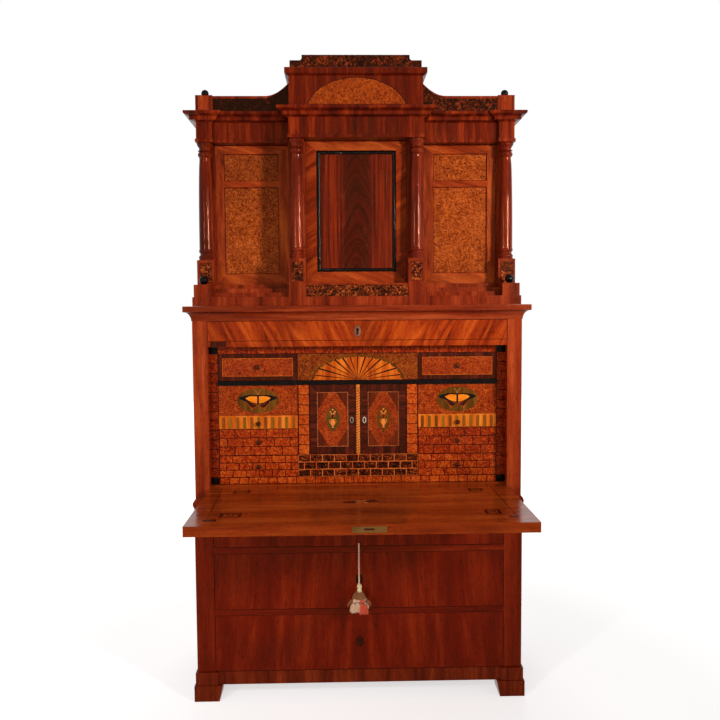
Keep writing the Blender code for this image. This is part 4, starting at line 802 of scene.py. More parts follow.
# %% Dress the CAD nodes
DRESS = {
    "stile_mahogany": "side",
    "attic_mahogany": "attic_block",
    "mahogany": "upper_case upper_base upper_door scroll_panel foot base_plinth",
    "level_mahogany": "waist_cornice",
    "rail_mahogany": "dust_board",
    "banded_mahogany": "entablature",
    "drawer_mahogany": "drawer",
    "frieze_mahogany": "frieze",
    "flap_mahogany": "writing",
    "oak": "back_panel floor_board upper_shelf",
    "joint_wood": "gallery_bay gallery_drawer",
    "bright_joint": "gallery_drawer_centre",
    "night_burl": "attic_crest",
    "little_drawer": "upper_drawer",
    "rosewood": "cupboard_door",
    "ebonised": "gallery_moulding corner_ball finial",
    "column_mahogany": "column",
    "brass": "lock_plate",
    "dark_steel": "key",
}
dressed = set()
for finish, beginnings in DRESS.items():
    for name in nodes:
        if name.startswith(tuple(beginnings.split())):
            dressed.add(name)
            for material_slot in nodes[name].material_slots:
                material_slot.material = finishes[finish][0]
print("dressed", len(dressed), "nodes")

# %% [markdown]
# ## Turned pieces
# Columns, balls and finials were turned on a lathe: a wooden blank spins while a tool cuts its outline. The
# CAD solids have few steps, so that they stay light. Here the same outline is smoothed and turned in 64
# steps, and each new piece stands exactly where its solid stands.

# %% Turn the columns
TURN_STEPS = 64
BASE_CUTS = [(0, 0.98), (0.08, 0.98), (0.14, 0.94), (0.28, 1), (0.42, 0.92), (0.50, 0.82), (0.62, 0.82),
             (0.70, 0.90), (0.80, 0.95), (0.90, 0.96), (0.98, 0.93)]
CAPITAL_CUTS = [(0.03, 0.70), (0.09, 0.82), (0.18, 0.90), (0.28, 0.90), (0.37, 0.80), (0.42, 0.68),
                (0.45, 0.86), (0.51, 0.87), (0.54, 0.68), (0.64, 0.72), (0.74, 0.82), (0.84, 0.95), (0.90, 1),
                (1, 1)]
COLUMN_BASE, COLUMN_CAPITAL = 0.038, 0.051
FOOT_RADIUS, SHAFT_RADIUS, NECK_RADIUS, CAPITAL_RADIUS = 0.028, 0.025, 0.018, 0.027
SHAFT_PARTS, LEAST_SWELL = 16, 0.0001


def smoothed(profile, parts):
    """The same outline with more points, as a flowing curve through the given ones."""
    made = []
    for step in range(len(profile) - 1):
        before, here = profile[max(step - 1, 0)], profile[step]
        there, after = profile[step + 1], profile[min(step + 2, len(profile) - 1)]
        for part in range(parts):
            t = part / parts
            made.append(tuple(
                0.5 * (2 * here[i] + (there[i] - before[i]) * t
                       + (2 * before[i] - 5 * here[i] + 4 * there[i] - after[i]) * t * t
                       + (3 * here[i] - before[i] - 3 * there[i] + after[i]) * t * t * t)
                for i in (0, 1)))
    return made + [profile[-1]]


def column_profile(height):
    shaft = height - COLUMN_BASE - COLUMN_CAPITAL
    middle = []
    for step in range(SHAFT_PARTS + 1):
        share = step / SHAFT_PARTS
        swell = math.sqrt(max(1 - share * share, LEAST_SWELL))
        middle.append((COLUMN_BASE + share * shaft, NECK_RADIUS + (SHAFT_RADIUS - NECK_RADIUS) * swell))
    base = smoothed([(h * COLUMN_BASE, r * FOOT_RADIUS) for h, r in BASE_CUTS], 4)
    capital = smoothed([(height - COLUMN_CAPITAL * (1 - h), r * CAPITAL_RADIUS) for h, r in CAPITAL_CUTS], 4)
    return base + middle + capital


def turn(name, profile, finish):
    """Turns a profile where a solid stands, as tall as the solid, and shows it in the solid's place."""
    low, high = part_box(name)
    foot = ((low.x + high.x) / 2, (low.y + high.y) / 2, low.z)
    scale = (high.z - low.z) / profile[-1][0]
    shape = lathe([(height * scale, radius) for height, radius in profile], foot, TURN_STEPS)
    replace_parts(piece("turned_" + name, shape, body_of[name], finish, smooth=True), name)


for name in ("column_inner_left", "column_inner_right", "column_outer_left", "column_outer_right"):
    low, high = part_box(name)
    turn(name, column_profile(high.z - low.z), "column_mahogany")
print("columns are", round(high.z - low.z, 3), "m tall")

# %% Turn the balls and finials
BALL_STEPS = 24
BALLS = {"corner_ball": (0.0155, 0.007, 0.0015), "finial": (0.0135, 0.011, 0.004)}


def ball_profile(radius, foot_radius, foot_height):
    """A short foot with a ball on it."""
    sunk = math.sqrt(radius * radius - foot_radius * foot_radius)
    first = math.asin(sunk / radius)
    ball = []
    for step in range(BALL_STEPS + 1):
        angle = -first + (math.pi / 2 + first) * step / BALL_STEPS
        ball.append((foot_height + sunk + radius * math.sin(angle), radius * math.cos(angle)))
    return [(0, foot_radius)] + ball


for name, sizes in BALLS.items():
    for side in ("left", "right"):
        turn(f"{name}_{side}", ball_profile(*sizes), "ebonised")
print("turned", 2 * len(BALLS), "balls")

# %% [markdown]
# ## Veneer and marquetry
# Veneer is a sheet of wood under a millimetre thick, glued to a plainer board. Marquetry is a picture of
# such sheets, sawn to shape and laid side by side. Each sheet is a flat outline with a small thickness, so
# its edge catches a little light, as the real joints do. A picture on one sheet would look painted. Three
# helpers make every inlay: a filled outline, a ring between two outlines, and a rounded bead.

# %% Helpers for inlay
VENEER, SUNK = 0.0003, 0.0002
BEAD_ARCS = 8
SIDES = (("left", -1), ("right", 1))


def on_front(y):
    """Places outline points (x, z) on an upright face that looks forward."""
    return lambda u, v, out: Vector((u, y - out, v))


def front_of(name):
    """The same on the foremost face of a CAD node."""
    return on_front(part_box(name)[0].y)


def on_top(z):
    """Places outline points (x, y) on a level face that looks up."""
    return lambda u, v, out: Vector((u, v, z + out))


def planes(name, axis):
    """Where a node's corners lie along x, y or z (axis 0, 1 or 2), in rising order."""
    return sorted({round(v.co[axis], 4) for v in nodes[name].data.vertices})


def shrunk(box, by):
    x0, z0, x1, z1 = box
    return (x0 + by, z0 + by, x1 - by, z1 - by)


def front_box(name, inside=0.0):
    """A node seen from the front, as x0, z0, x1, z1, drawn in by a margin."""
    low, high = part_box(name)
    return shrunk((low.x, low.z, high.x, high.z), inside)


def rectangle(x0, z0, x1, z1):
    return [(x0, z0), (x1, z0), (x1, z1), (x0, z1)]


def oval(middle, half_wide, half_tall, steps=56, first=0.0, last=360.0, point=0.0):
    """An oval, or part of one. point draws its top and bottom to a point."""
    made = []
    closed = last - first >= 360
    for step in range(steps if closed else steps + 1):
        angle = math.radians(first + (last - first) * step / steps)
        wide = half_wide * abs(math.cos(angle)) ** point
        made.append((middle[0] + wide * math.cos(angle), middle[1] + half_tall * math.sin(angle)))
    return made


def drawn(outline, middle, way=1, scale=0.001):
    """An outline drawn in millimetres, placed round middle; way -1 gives its mirror image."""
    return [(middle[0] + way * u * scale, middle[1] + v * scale) for u, v in outline]


def mirrored(outline, way):
    """The outline as it is for way 1, or its mirror image for way -1."""
    return [(way * u, v) for u, v in outline]


def mitred(outer, inner):
    """The four veneers of a mitred frame: bottom and top, then left and right."""
    a, b = rectangle(*outer), rectangle(*inner)
    sides = [[a[k], a[(k + 1) % 4], b[(k + 1) % 4], b[k]] for k in range(4)]
    return [sides[0], sides[2]], [sides[3], sides[1]]


def anticlockwise(outline):
    outline = list(outline)
    doubled = sum(a[0] * b[1] - b[0] * a[1] for a, b in zip(outline, outline[1:] + outline[:1]))
    return outline if doubled > 0 else outline[::-1]


def sheet_of(outline, face, layers=1):
    """Points and faces of one thin sheet."""
    outline = anticlockwise(outline)
    points = [face(u, v, out) for out in (-SUNK, layers * VENEER) for u, v in outline]
    return points, bands(2, len(outline))


def inlay(name, outlines, face, body, finish, layers=1, tones=None, slot=None):
    """One object from several thin sheets. tones gives each sheet its own tone."""
    sheets = [sheet_of(outline, face, layers) for outline in outlines]
    face_tones = [tone for tone, (_, faces) in zip(tones or (), sheets) for _ in faces]
    return piece(name, joined(sheets), body, finish, tones=face_tones)


def inlays(face, body, rows, ending=""):
    """Several inlays on one face. A row gives name, outlines, finish and how many layers high it stands."""
    for name, outlines, finish, layers in rows:
        inlay(name + ending, outlines, face, body, finish, layers)


def ring_of(outer, inner, face, layers=1):
    """Points and faces of a thin ring between two outlines with equally many points."""
    outer, inner, top = anticlockwise(outer), anticlockwise(inner), layers * VENEER
    loops = ((outer, top), (inner, top), (inner, -SUNK), (outer, -SUNK))
    return [face(u, v, out) for loop, out in loops for u, v in loop], bands(4, len(outer), closed=True)


def line_round(box, outside, inside, face, layers=1):
    """A rectangular line between two margins inside a box."""
    return ring_of(rectangle(*shrunk(box, outside)), rectangle(*shrunk(box, inside)), face, layers)


def oval_ring(middle, outer, inner, face, layers, steps):
    return ring_of(oval(middle, *outer, steps), oval(middle, *inner, steps), face, layers)


def bead(name, outer, face, body, finish, width, rise, base):
    """A half-round bead with mitred corners, inside the rectangle outer."""
    arcs = [math.pi * k / BEAD_ARCS for k in range(BEAD_ARCS + 1)]
    profile = [(0, -SUNK)]
    profile += [(width * (1 - math.cos(arc)) / 2, base + rise * math.sin(arc)) for arc in arcs]
    profile.append((width, -SUNK))
    points = [face(u, v, out) for inset, out in profile for u, v in rectangle(*shrunk(outer, inset))]
    return piece(name, (points, bands(len(profile), 4, closed=True)), body, finish, smooth=True)


print("inlay helpers ready")

# %% [markdown]
# ## The upper doors
# The frames are veneered at an angle and mitred at the corners, so the grain turns with the frame. The
# middle door holds a plume panel: the sheet comes from a fork in the tree, where the grain rises like a
# feather. A fat ebonised bead frames it. The side doors hold two burl fields each, with a thin bead.

# %% Plume mahogany
PLUME_SEED = 41


def build_plume():
    """Nested pointed arches of dark grain up the middle, with upright streaks on both sides."""
    tree, shader, point = start("plume_mahogany", "mahogany")
    drift = put(tree, "ShaderNodeTexNoise", {"Vector": point, "Scale": 7, "Detail": 3}).outputs["Color"]
    bend = steer(tree, "SUBTRACT", drift, (0.5, 0.5, 0.5))
    bent = steer(tree, "MULTIPLY_ADD", bend, (0.03, 0, 0.05), point)
    parts = put(tree, "ShaderNodeSeparateXYZ", {"Vector": bent}).outputs
    side = reckon(tree, "ABSOLUTE", parts["X"])
    rise = reckon(tree, "MULTIPLY_ADD", reckon(tree, "POWER", side, 1.5), 7.5, parts["Z"])
    arches = put(tree, "ShaderNodeCombineXYZ", {"X": reckon(tree, "MULTIPLY", side, 0.12), "Z": rise})
    arched = place_group(tree, wood_figure, Point=arches.outputs[0], Stretch=(46, 46, 46), Swirl=0.8,
                         Seed=PLUME_SEED)
    upright = place_group(tree, wood_figure, Point=point, Stretch=(62, 62, 1.5), Swirl=0.9,
                          Seed=PLUME_SEED + 2)
    heart = spread(tree, side, 0.064, 0.040)
    feeds = {0: heart, 2: upright["Tone"], 3: reckon(tree, "MULTIPLY", arched["Tone"], 0.36)}
    shade = toned(tree, put(tree, "ShaderNodeMix", feeds).outputs[0], "1b0301 450b03 6d1a06 8d2e0d")
    varnished(tree, shader, point, shade, arched["Height"], PLUME_SEED)


build_plume()
print("the plume panel is ready")

# %% Veneer the upper doors
FAT_BEAD = {"width": 0.0125, "rise": 0.0054, "base": 0.0010}
FINE_BEAD = {"width": 0.0026, "rise": 0.0022, "base": 0.0004}
SHEET_GAP, BEAD_GAP = 0.0002, 0.0001
FIELD_TONES = (0.05, -0.05)

door = "upper_door_centre"
xs, ys, zs = [planes(door, axis) for axis in range(3)]
frame_face, field_face = on_front(ys[0]), on_front(ys[1])
field = (xs[1], zs[1], xs[2], zs[2])
rails, stiles = mitred((xs[0], zs[0], xs[3], zs[3]), field)
inlay("centre_door_rails", rails, frame_face, door, "door_rail")
inlay("centre_door_stiles", stiles, frame_face, door, "frame_mahogany")
inlay("centre_door_plume", [rectangle(*shrunk(field, SHEET_GAP))], field_face, door, "plume_mahogany")
bead("centre_door_bead", shrunk(field, BEAD_GAP), field_face, door, "ebonised", **FAT_BEAD)
for side, way in SIDES:
    door = "upper_door_" + side
    xs, ys, zs = [planes(door, axis) for axis in range(3)]
    frame_face, field_face = on_front(ys[0]), on_front(ys[1])
    rails, stiles = mitred((xs[0], zs[0], xs[3], zs[5]), (xs[1], zs[1], xs[2], zs[4]))
    rails.append(rectangle(xs[1], zs[2], xs[2], zs[3]))
    inlay(door + "_rails", rails, frame_face, door, "door_rail")
    inlay(door + "_stiles", stiles, frame_face, door, "door_stile")
    fields = [(xs[1], zs[1], xs[2], zs[2]), (xs[1], zs[3], xs[2], zs[4])]
    sheets = [rectangle(*shrunk(field, SHEET_GAP)) for field in fields]
    inlay(door + "_burl", sheets, field_face, door, "field_burl", tones=FIELD_TONES)
    for number, field in enumerate(fields):
        edge = shrunk(field, BEAD_GAP)
        bead(f"{door}_bead_{number}", edge, field_face, door, "column_mahogany", **FINE_BEAD)
print("veneered three doors")

# %% [markdown]
# ## Attic, galleries and pedestals
# A half-oval of burl fills the attic, with a black line round it. The side galleries have dark burl faces
# under a plain mahogany edge that sweeps up to the attic. Each pedestal carries a small burl panel in a
# bead.

# %% Veneer the attic and the side galleries
LUNETTE_MIDDLE, LUNETTE_WIDE, LUNETTE_TALL = (0.002, 2.0625), 0.1736, 0.1180
LUNETTE_LINE, LUNETTE_STEPS, LUNETTE_FIRST = 0.0022, 64, 14.7
EDGE_STRIP, SWEEP_STRIP, FOOT_STRIP = 0.0090, 0.0045, 0.0005
SWEEP_END, BLOCK_SIDE, LEVEL_WITHIN = 0.5, 0.5028, 0.001
BLOCK_INNER, BLOCK_OUTER, BLOCK_TOP, BLOCK_EDGE = 0.5125, 0.5560, 2.1375, 0.0016
SCROLL_TONES = {"left": -1.1, "right": -0.2}


def lunette(wider):
    """The half-oval of the attic, grown by a margin."""
    return oval(LUNETTE_MIDDLE, LUNETTE_WIDE + wider, LUNETTE_TALL + wider, LUNETTE_STEPS, LUNETTE_FIRST,
                180 - LUNETTE_FIRST)


inlays(on_front(planes("attic_block", 1)[-2]), "case", (
    ("attic_lunette_line", [lunette(LUNETTE_LINE)], "ebonised", 1),
    ("attic_lunette", [lunette(0)], "lunette_burl", 2),
))

for side, way in SIDES:
    name = "scroll_panel_" + side
    tops = {}
    for v in nodes[name].data.vertices:
        x = round(abs(v.co.x), 4)
        if x < SWEEP_END:
            tops[x] = max(tops.get(x, 0), v.co.z)
    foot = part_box(name)[0].z + FOOT_STRIP
    reach = sorted(tops)
    level = tops[reach[-1]]
    curve = [(x, tops[x] - (EDGE_STRIP if tops[x] < level + LEVEL_WITHIN else SWEEP_STRIP)) for x in reach]
    curve.append((BLOCK_SIDE, level - EDGE_STRIP))
    outline = [(reach[0], foot), (BLOCK_SIDE, foot)] + curve[::-1]
    inlay(name + "_burl", [mirrored(outline, way)], on_front(planes(name, 1)[1]), "case", "night_burl",
          tones=[SCROLL_TONES[side]])
    block = [mirrored(rectangle(BLOCK_INNER, foot, BLOCK_OUTER, BLOCK_TOP), way)]
    inlay(name + "_block_veneer", block, front_of(name), "case", "stile_mahogany")
    edges = [mirrored(rectangle(x, foot, x + BLOCK_EDGE, BLOCK_TOP), way)
             for x in (BLOCK_INNER, BLOCK_OUTER - BLOCK_EDGE)]
    inlay(name + "_block_edges", edges, front_of(name), "case", "rosewood", layers=2, slot="mahogany")
print("attic and galleries veneered")

# %% Pedestal panels and the little drawer
PANEL_HALF, PANEL_LOW, PANEL_HIGH = 0.0200, 1.4845, 1.5510
PANEL_BEAD, PANEL_ROUND = {"width": 0.0026, "rise": 0.0018, "base": 0.0003}, -0.0016
PEDESTALS = (("inner", 0.2075, planes("upper_base", 1)[0]), ("outer", 0.5355, 0.0564))
PANEL_GAP = 0.0004
LITTLE_KEYHOLE, KEYHOLE_HALVES = (-0.0017, 0.003), (0.0024, 0.0058)
for side, way in SIDES:
    for place, middle, y in PEDESTALS:
        panel = (way * middle - PANEL_HALF, PANEL_LOW, way * middle + PANEL_HALF, PANEL_HIGH)
        name = f"pedestal_{place}_{side}"
        inlay(name + "_burl", [rectangle(*panel)], on_front(y), "case", "dark_burl")
        bead(name + "_bead", shrunk(panel, PANEL_ROUND), on_front(y), "case", "column_mahogany", **PANEL_BEAD)
panel = front_box("upper_drawer", PANEL_GAP)
middle = (LITTLE_KEYHOLE[0], (panel[1] + panel[3]) / 2 + LITTLE_KEYHOLE[1])
inlays(front_of("upper_drawer"), "upper_drawer", (
    ("upper_drawer_burl", [rectangle(*panel)], "dark_burl", 1),
    ("upper_drawer_keyhole", [oval(middle, *KEYHOLE_HALVES, 20)], "ebonised", 3),
))
print("pedestals done")

# %% [markdown]
# ## The gallery's bricks
# The maker drew the gallery as a little palace front with brick walls. Each brick is its own piece of burl
# with a dark joint round it, cut from different places in the sheet, so no two match. The bricks are
# separate sheets here too, laid in courses, and each one carries a tone that also moves its figure.

# %% Bricks
BRICK_GAP, NARROW_GAP, WIDE_GAP = 0.0027, 0.0018, 0.0028
KNOB_REACH = 0.014
BAY_LOW, WALL_LOW, WALL_HIGH, BAY_HIGH = 0.7655, 0.7893, 1.2310, 1.2580
BAY_OUTER, STRIP_OUTER, STRIP_EDGE = 0.4945, 0.5375, 0.5461
DRAWER_BRICKS = (("low", 6, {"left": 0.2, "right": 0.1}), ("high", 5, {"left": -0.1, "right": -0.5}))
CORNER_SQUARES = (("low", 0.7656, 0.7885), ("high", 1.2318, 1.2578))
SQUARE_GAP, BRICK_SEED = 0.001, 23
random.seed(BRICK_SEED)
wall = (front_of("gallery_bay_left"), "case")


def courses(box, rows, across, gap=BRICK_GAP, shifted=True):
    """Brick outlines that fill a rectangle. Every other course is moved by half a brick."""
    x0, z0, x1, z1 = box
    tall, wide = (z1 - z0) / rows, (x1 - x0) / across
    made = []
    for row in range(rows):
        start_x = x0 - (wide / 2 if shifted and row % 2 else 0)
        for number in range(across + 1):
            left, right = max(start_x + number * wide, x0), min(start_x + (number + 1) * wide, x1)
            if right - left > wide / 4:
                brick = (left, z0 + row * tall, right, z0 + (row + 1) * tall)
                made.append(rectangle(*shrunk(brick, gap / 2)))
    return made


def lay_bricks(name, outlines, face, body, finish="brick_burl", uneven=0.5, around=0.0):
    """Lays bricks on a face; uneven is how much their tones differ."""
    tones = [around + uneven * (random.random() - 0.5) for _ in outlines]
    inlay(name, outlines, face, body, finish, tones=tones)


def drawer_face(name):
    """The front board of a gallery drawer, behind its knob, and the drawer's body."""
    return on_front(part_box(name)[0].y + KNOB_REACH), body_of[name]


def both_ways(way, near, far):
    """Two distances from the middle as x values in rising order."""
    return sorted((way * near, way * far))


for side, way in SIDES:
    for row, count, tones in DRAWER_BRICKS:
        name = f"gallery_drawer_{row}_{side}"
        lay_bricks(f"bricks_{row}_{side}", courses(front_box(name), 3, count), *drawer_face(name),
                   around=tones[side], uneven=0.6)
    x0, x1 = both_ways(way, BAY_OUTER, STRIP_OUTER)
    # The side strips' bricks are laid darker all over: painted shade of the recess at each side of the
    # gallery.
    lay_bricks(f"bricks_side_{side}", courses((x0, WALL_LOW, x1, WALL_HIGH), 13, 1, shifted=False), *wall,
               around=-0.8, uneven=0.4)
    # A dark rosewood strip at each bay's outer edge is painted shadow of the gap between the brick strip and
    # the case side.
    line = mirrored(rectangle(STRIP_OUTER, WALL_LOW, STRIP_EDGE, WALL_HIGH), way)
    inlay(f"side_shadow_strip_{side}", [line], *wall, "rosewood")
    for height, z0, z1 in CORNER_SQUARES:
        square = mirrored(rectangle(BAY_OUTER + SQUARE_GAP, z0, STRIP_EDGE, z1), way)
        inlay(f"corner_square_{height}_{side}", [square], *wall, "ebonised")
lay_bricks("bricks_bottom", courses((-BAY_OUTER, BAY_LOW, BAY_OUTER, WALL_LOW), 1, 29), *wall, around=0.4)
bricks = courses((-BAY_OUTER, WALL_HIGH, BAY_OUTER, BAY_HIGH), 1, 29, NARROW_GAP)
lay_bricks("bricks_top", bricks, *wall, around=-0.6, uneven=0.4)
bricks = courses(front_box("gallery_drawer_centre"), 3, 10, WIDE_GAP)
lay_bricks("bricks_centre", bricks, *drawer_face("gallery_drawer_centre"), "dark_burl", around=-0.25)
print("laid the bricks")

# %% Turn the knobs
KNOB_CUTS = [(0, 0.54), (0.30, 0.54), (0.44, 0.90), (0.62, 1.05), (0.80, 0.99), (0.92, 0.74), (0.985, 0.52),
             (1.012, 0.25), (1.02, 0.01)]
KNOB_STEPS, KNOB_SHARE = 32, 0.9
for name in sorted(nodes):
    if name.startswith("gallery_drawer"):
        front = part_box(name)[0].y
        reached = [v.co for v in nodes[name].data.vertices if v.co.y < front + KNOB_REACH * KNOB_SHARE]
        xs, zs = [p.x for p in reached], [p.z for p in reached]
        x, z, radius = (min(xs) + max(xs)) / 2, (min(zs) + max(zs)) / 2, (max(xs) - min(xs)) / 2
        profile = smoothed([(h * KNOB_REACH, r * radius) for h, r in KNOB_CUTS], 3)
        points, faces = lathe(profile, (0, 0, 0), KNOB_STEPS)
        points = [(x + p.x, front + KNOB_REACH - p.z, z + p.y) for p in points]
        piece("knob_of_" + name, (points, faces), body_of[name], "knob_wood", smooth=True)
print("turned nine knobs of", round(radius * 2000, 1), "mm")

# %% Pilasters and rope stringing
PILASTER_INNER, PILASTER_OUTER = 0.1715, 0.2145
PILASTER_LOW, PILASTER_HIGH = 0.8692, 1.1193
PILASTER_EDGE, EDGE_WIDE, EDGE_IN = 0.0022, 0.0018, 0.0002
ROPE_HALF, ROPE_GROUND_HALF, ROPE_TURNS, ROPE_LEAN = 0.0058, 0.0063, 27, 0.0060
ROPE_END, STRAND_SHARE, STRAND_ROOM = 0.0006, 0.34, 0.45
for side, way in SIDES:
    x0, x1 = both_ways(way, PILASTER_INNER, PILASTER_OUTER)
    box = (x0 + PILASTER_EDGE, PILASTER_LOW, x1 - PILASTER_EDGE, PILASTER_HIGH)
    bricks = courses(box, 7, 1, shifted=False)
    lay_bricks(f"bricks_pilaster_{side}", bricks, *wall, around=0.6, uneven=0.4)
    edges = [rectangle(x, PILASTER_LOW, x + EDGE_WIDE, PILASTER_HIGH)
             for x in (x0 + EDGE_IN, x1 - EDGE_IN - EDGE_WIDE)]
    inlay(f"pilaster_lines_{side}", edges, *wall, "joint_wood")

low_z, high_z = PILASTER_LOW + ROPE_END, PILASTER_HIGH - ROPE_END
inlay("rope_ground", [rectangle(-ROPE_GROUND_HALF, low_z, ROPE_GROUND_HALF, high_z)], *wall, "rope_light")
step = (high_z - low_z) / ROPE_TURNS
strands = []
for number in range(ROPE_TURNS):
    z, thick = low_z + number * step, step * STRAND_SHARE
    if z + ROPE_LEAN + step * STRAND_ROOM < high_z:
        strands.append([(-ROPE_HALF, z), (-ROPE_HALF, z + thick), (ROPE_HALF, z + thick + ROPE_LEAN),
                        (ROPE_HALF, z + ROPE_LEAN)])
inlay("rope_strands", strands, *wall, "rope_brown", layers=2)
print(len(strands), "strands in the rope")

# %% [markdown]
# ## The fan
# Over the little doors stands a fan of fourteen satinwood blades. Each blade ends in a hollow curve, and
# dark rays lie between the blades. A narrow olive band closes the arch. The blades are drawn as outlines
# from the centre.

# %% Cut the fan
FAN_LOW, FAN_HALF, FAN_TALL, FAN_BAND = 1.1362, 0.1605, 0.0850, 0.0035
FAN_FRIEZE = (-0.2140, 1.1354, 0.2140, 1.2306)
RAYS = [0, 12, 29, 45, 59, 70, 80, 90, 100, 110, 121, 135, 151, 168, 180]
RED_RAYS, BLACK_RAYS = (1, 3, 5, 7, 8, 11, 13), (2, 4, 6, 9, 10, 12)
RED_WIDE, BLACK_WIDE = 0.0044, 0.0058
RAY_TIP, RAY_FOOT, RAY_ROOT = 0.99, 0.06, 0.24
FAN_HEART, FRIEZE_LINE, FAN_SUNK = (0.0125, 0.0050), (0.0004, 0.0018), 0.0004
BLADE_STEPS, BLADE_HOLLOW = 8, 0.055


def fan_point(angle, reach=1.0):
    angle = math.radians(angle)
    return (FAN_HALF * reach * math.cos(angle), FAN_LOW + FAN_TALL * reach * math.sin(angle))


def blade(first, last):
    """One blade with a hollow end."""
    outline = [(0, FAN_LOW)]
    for number in range(BLADE_STEPS + 1):
        share = number / BLADE_STEPS
        reach = 1 - BLADE_HOLLOW * math.sin(math.pi * share)
        outline.append(fan_point(first + (last - first) * share, reach))
    return outline


def ray(angle, wide):
    """One dark ray, thin at the centre and wide at the rim."""
    tip, foot = Vector(fan_point(angle, RAY_TIP)), Vector(fan_point(angle, RAY_FOOT))
    half = (tip - foot).normalized().orthogonal() * wide / 2
    root = half * RAY_ROOT
    return [tuple(foot - root), tuple(tip - half), tuple(tip + half), tuple(foot + root)]


inlay("fan_frieze_ground", [rectangle(*FAN_FRIEZE)], *wall, "fan_ground")
piece("fan_frieze_line", line_round(FAN_FRIEZE, *FRIEZE_LINE, wall[0], 2), "case", "joint_wood")
border = oval((0, FAN_LOW - FAN_SUNK), FAN_HALF + FAN_BAND, FAN_TALL + FAN_BAND, 64, 0, 180)
inlays(*wall, (
    ("fan_border", [border], "olive_wood", 2),
    ("fan_blades", [blade(a, b) for a, b in zip(RAYS, RAYS[1:])], "fan_wood", 3),
    ("fan_rays_red", [ray(RAYS[k], RED_WIDE) for k in RED_RAYS], "ray_wood", 4),
    ("fan_rays_black", [ray(RAYS[k], BLACK_WIDE) for k in BLACK_RAYS], "ebonised", 4),
    ("fan_heart", [oval((0, FAN_LOW), *FAN_HEART, 20, 0, 180)], "rope_brown", 5),
))
print("fan has", len(RAYS) - 1, "blades")

# %% [markdown]
# ## The drawers with the butterflies
# Each side bay has a drawer whose front shows a butterfly on an olive oval over a row of flutes. The
# butterfly is a plain swallowtail, drawn in millimetres from a few outlines and mirrored, with its colours
# all in wood.

# %% Butterflies and flutes
BAND_TOP, BUTTERFLY_Z = 1.0113, 1.0640
BAND_GAP, BAND_TRIM, OVAL_HALVES = 0.0006, 0.0008, (0.074, 0.0445)
FLUTES, FLUTE_PITCH, FLUTE_HALF, FLUTE_SHIFT = 11, 0.0248, 0.0056, -0.001
FLUTE_FOOT, FLUTE_HEAD = 0.0016, 0.0050
WING_EDGE = [(1.5, 19), (18, 21.5), (36, 20), (54, 16.5), (69, 10.5), (60, 4), (45, -1), (32, -6), (17, -11),
             (1.5, -12.5)]
WING_PANE = [(3.2, 15.5), (18, 17), (31, 15.5), (45, 9.5), (37, 2.5), (23, -5), (10, -9), (3.2, -9.5)]
HIND_EDGE = [(42, -1), (26, -8), (12, -12), (2, -12), (6, -19), (12, -25.5), (19, -27), (23.5, -36),
             (26.5, -35.5), (26, -26), (33, -17), (41, -8)]
HIND_PANE = [(39.5, -3.5), (26, -9), (13, -13.6), (4.5, -14), (8, -19), (13, -24), (19.5, -25.2), (24.5, -23),
             (31, -16), (38.5, -8.5)]
FEELER = [(0.8, 24), (1.8, 24), (7, 33), (12.5, 39.5), (11.3, 40.2), (5.4, 33.8)]
BODY = [(-2.2, 20), (0, 22.5), (2.2, 20), (1.8, 4), (1.2, -12), (0, -15), (-1.2, -12), (-1.8, 4)]
HEAD = oval((0, 23.5), 2.6, 2.6, 14)


def flute(x, z0, z1):
    """A flute: a tall slot with a round head."""
    head = oval((x, z1 - FLUTE_HALF), FLUTE_HALF, FLUTE_HALF, 10, 0, 180)
    return [(x - FLUTE_HALF, z0), (x + FLUTE_HALF, z0)] + head


def pair(outline, middle):
    """An outline and its mirror image."""
    return [drawn(outline, middle, -1), drawn(outline, middle)]


for side, way in SIDES:
    name = f"gallery_drawer_butterfly_{side}"
    here = drawer_face(name)
    x0, z0, x1, z1 = front_box(name)
    middle = ((x0 + x1) / 2, BUTTERFLY_Z)
    panel = rectangle(x0 + PANEL_GAP, BAND_TOP, x1 - PANEL_GAP, z1 - PANEL_GAP)
    band = rectangle(x0 + BAND_GAP, z0 + BAND_GAP, x1 - BAND_GAP, BAND_TOP - BAND_TRIM)
    first = middle[0] + way * FLUTE_SHIFT - (FLUTES - 1) / 2 * FLUTE_PITCH
    slots = [flute(first + k * FLUTE_PITCH, z0 + FLUTE_FOOT, BAND_TOP - FLUTE_HEAD) for k in range(FLUTES)]
    inlays(*here, (
        ("butterfly_panel", [panel], "panel_burl", 1),
        ("butterfly_oval", [oval(middle, *OVAL_HALVES)], "olive_wood", 2),
        ("butterfly_hind_line", pair(HIND_EDGE, middle), "rope_brown", 3),
        ("butterfly_hind", pair(HIND_PANE, middle), "deep_red", 4),
        ("butterfly_wings", pair(WING_EDGE, middle) + [drawn(BODY, middle)], "ebonised", 5),
        ("butterfly_panes", pair(WING_PANE, middle), "wing_orange", 6),
        ("butterfly_feelers", pair(FEELER, middle) + [drawn(HEAD, middle)], "pale_line", 4),
        ("flute_band", [band], "satinwood", 1),
        ("flutes_olive", slots[0::2], "flute_brown", 2),
        ("flutes_brown", slots[1::2], "flute_olive", 2),
    ), "_" + side)
print("two butterflies and", 2 * FLUTES, "flutes")

# %% [markdown]
# ## Top drawers of the gallery
# Small drawers with a cross-banded rosewood frame: the grain runs across the band. A light line parts it
# from the burl field.

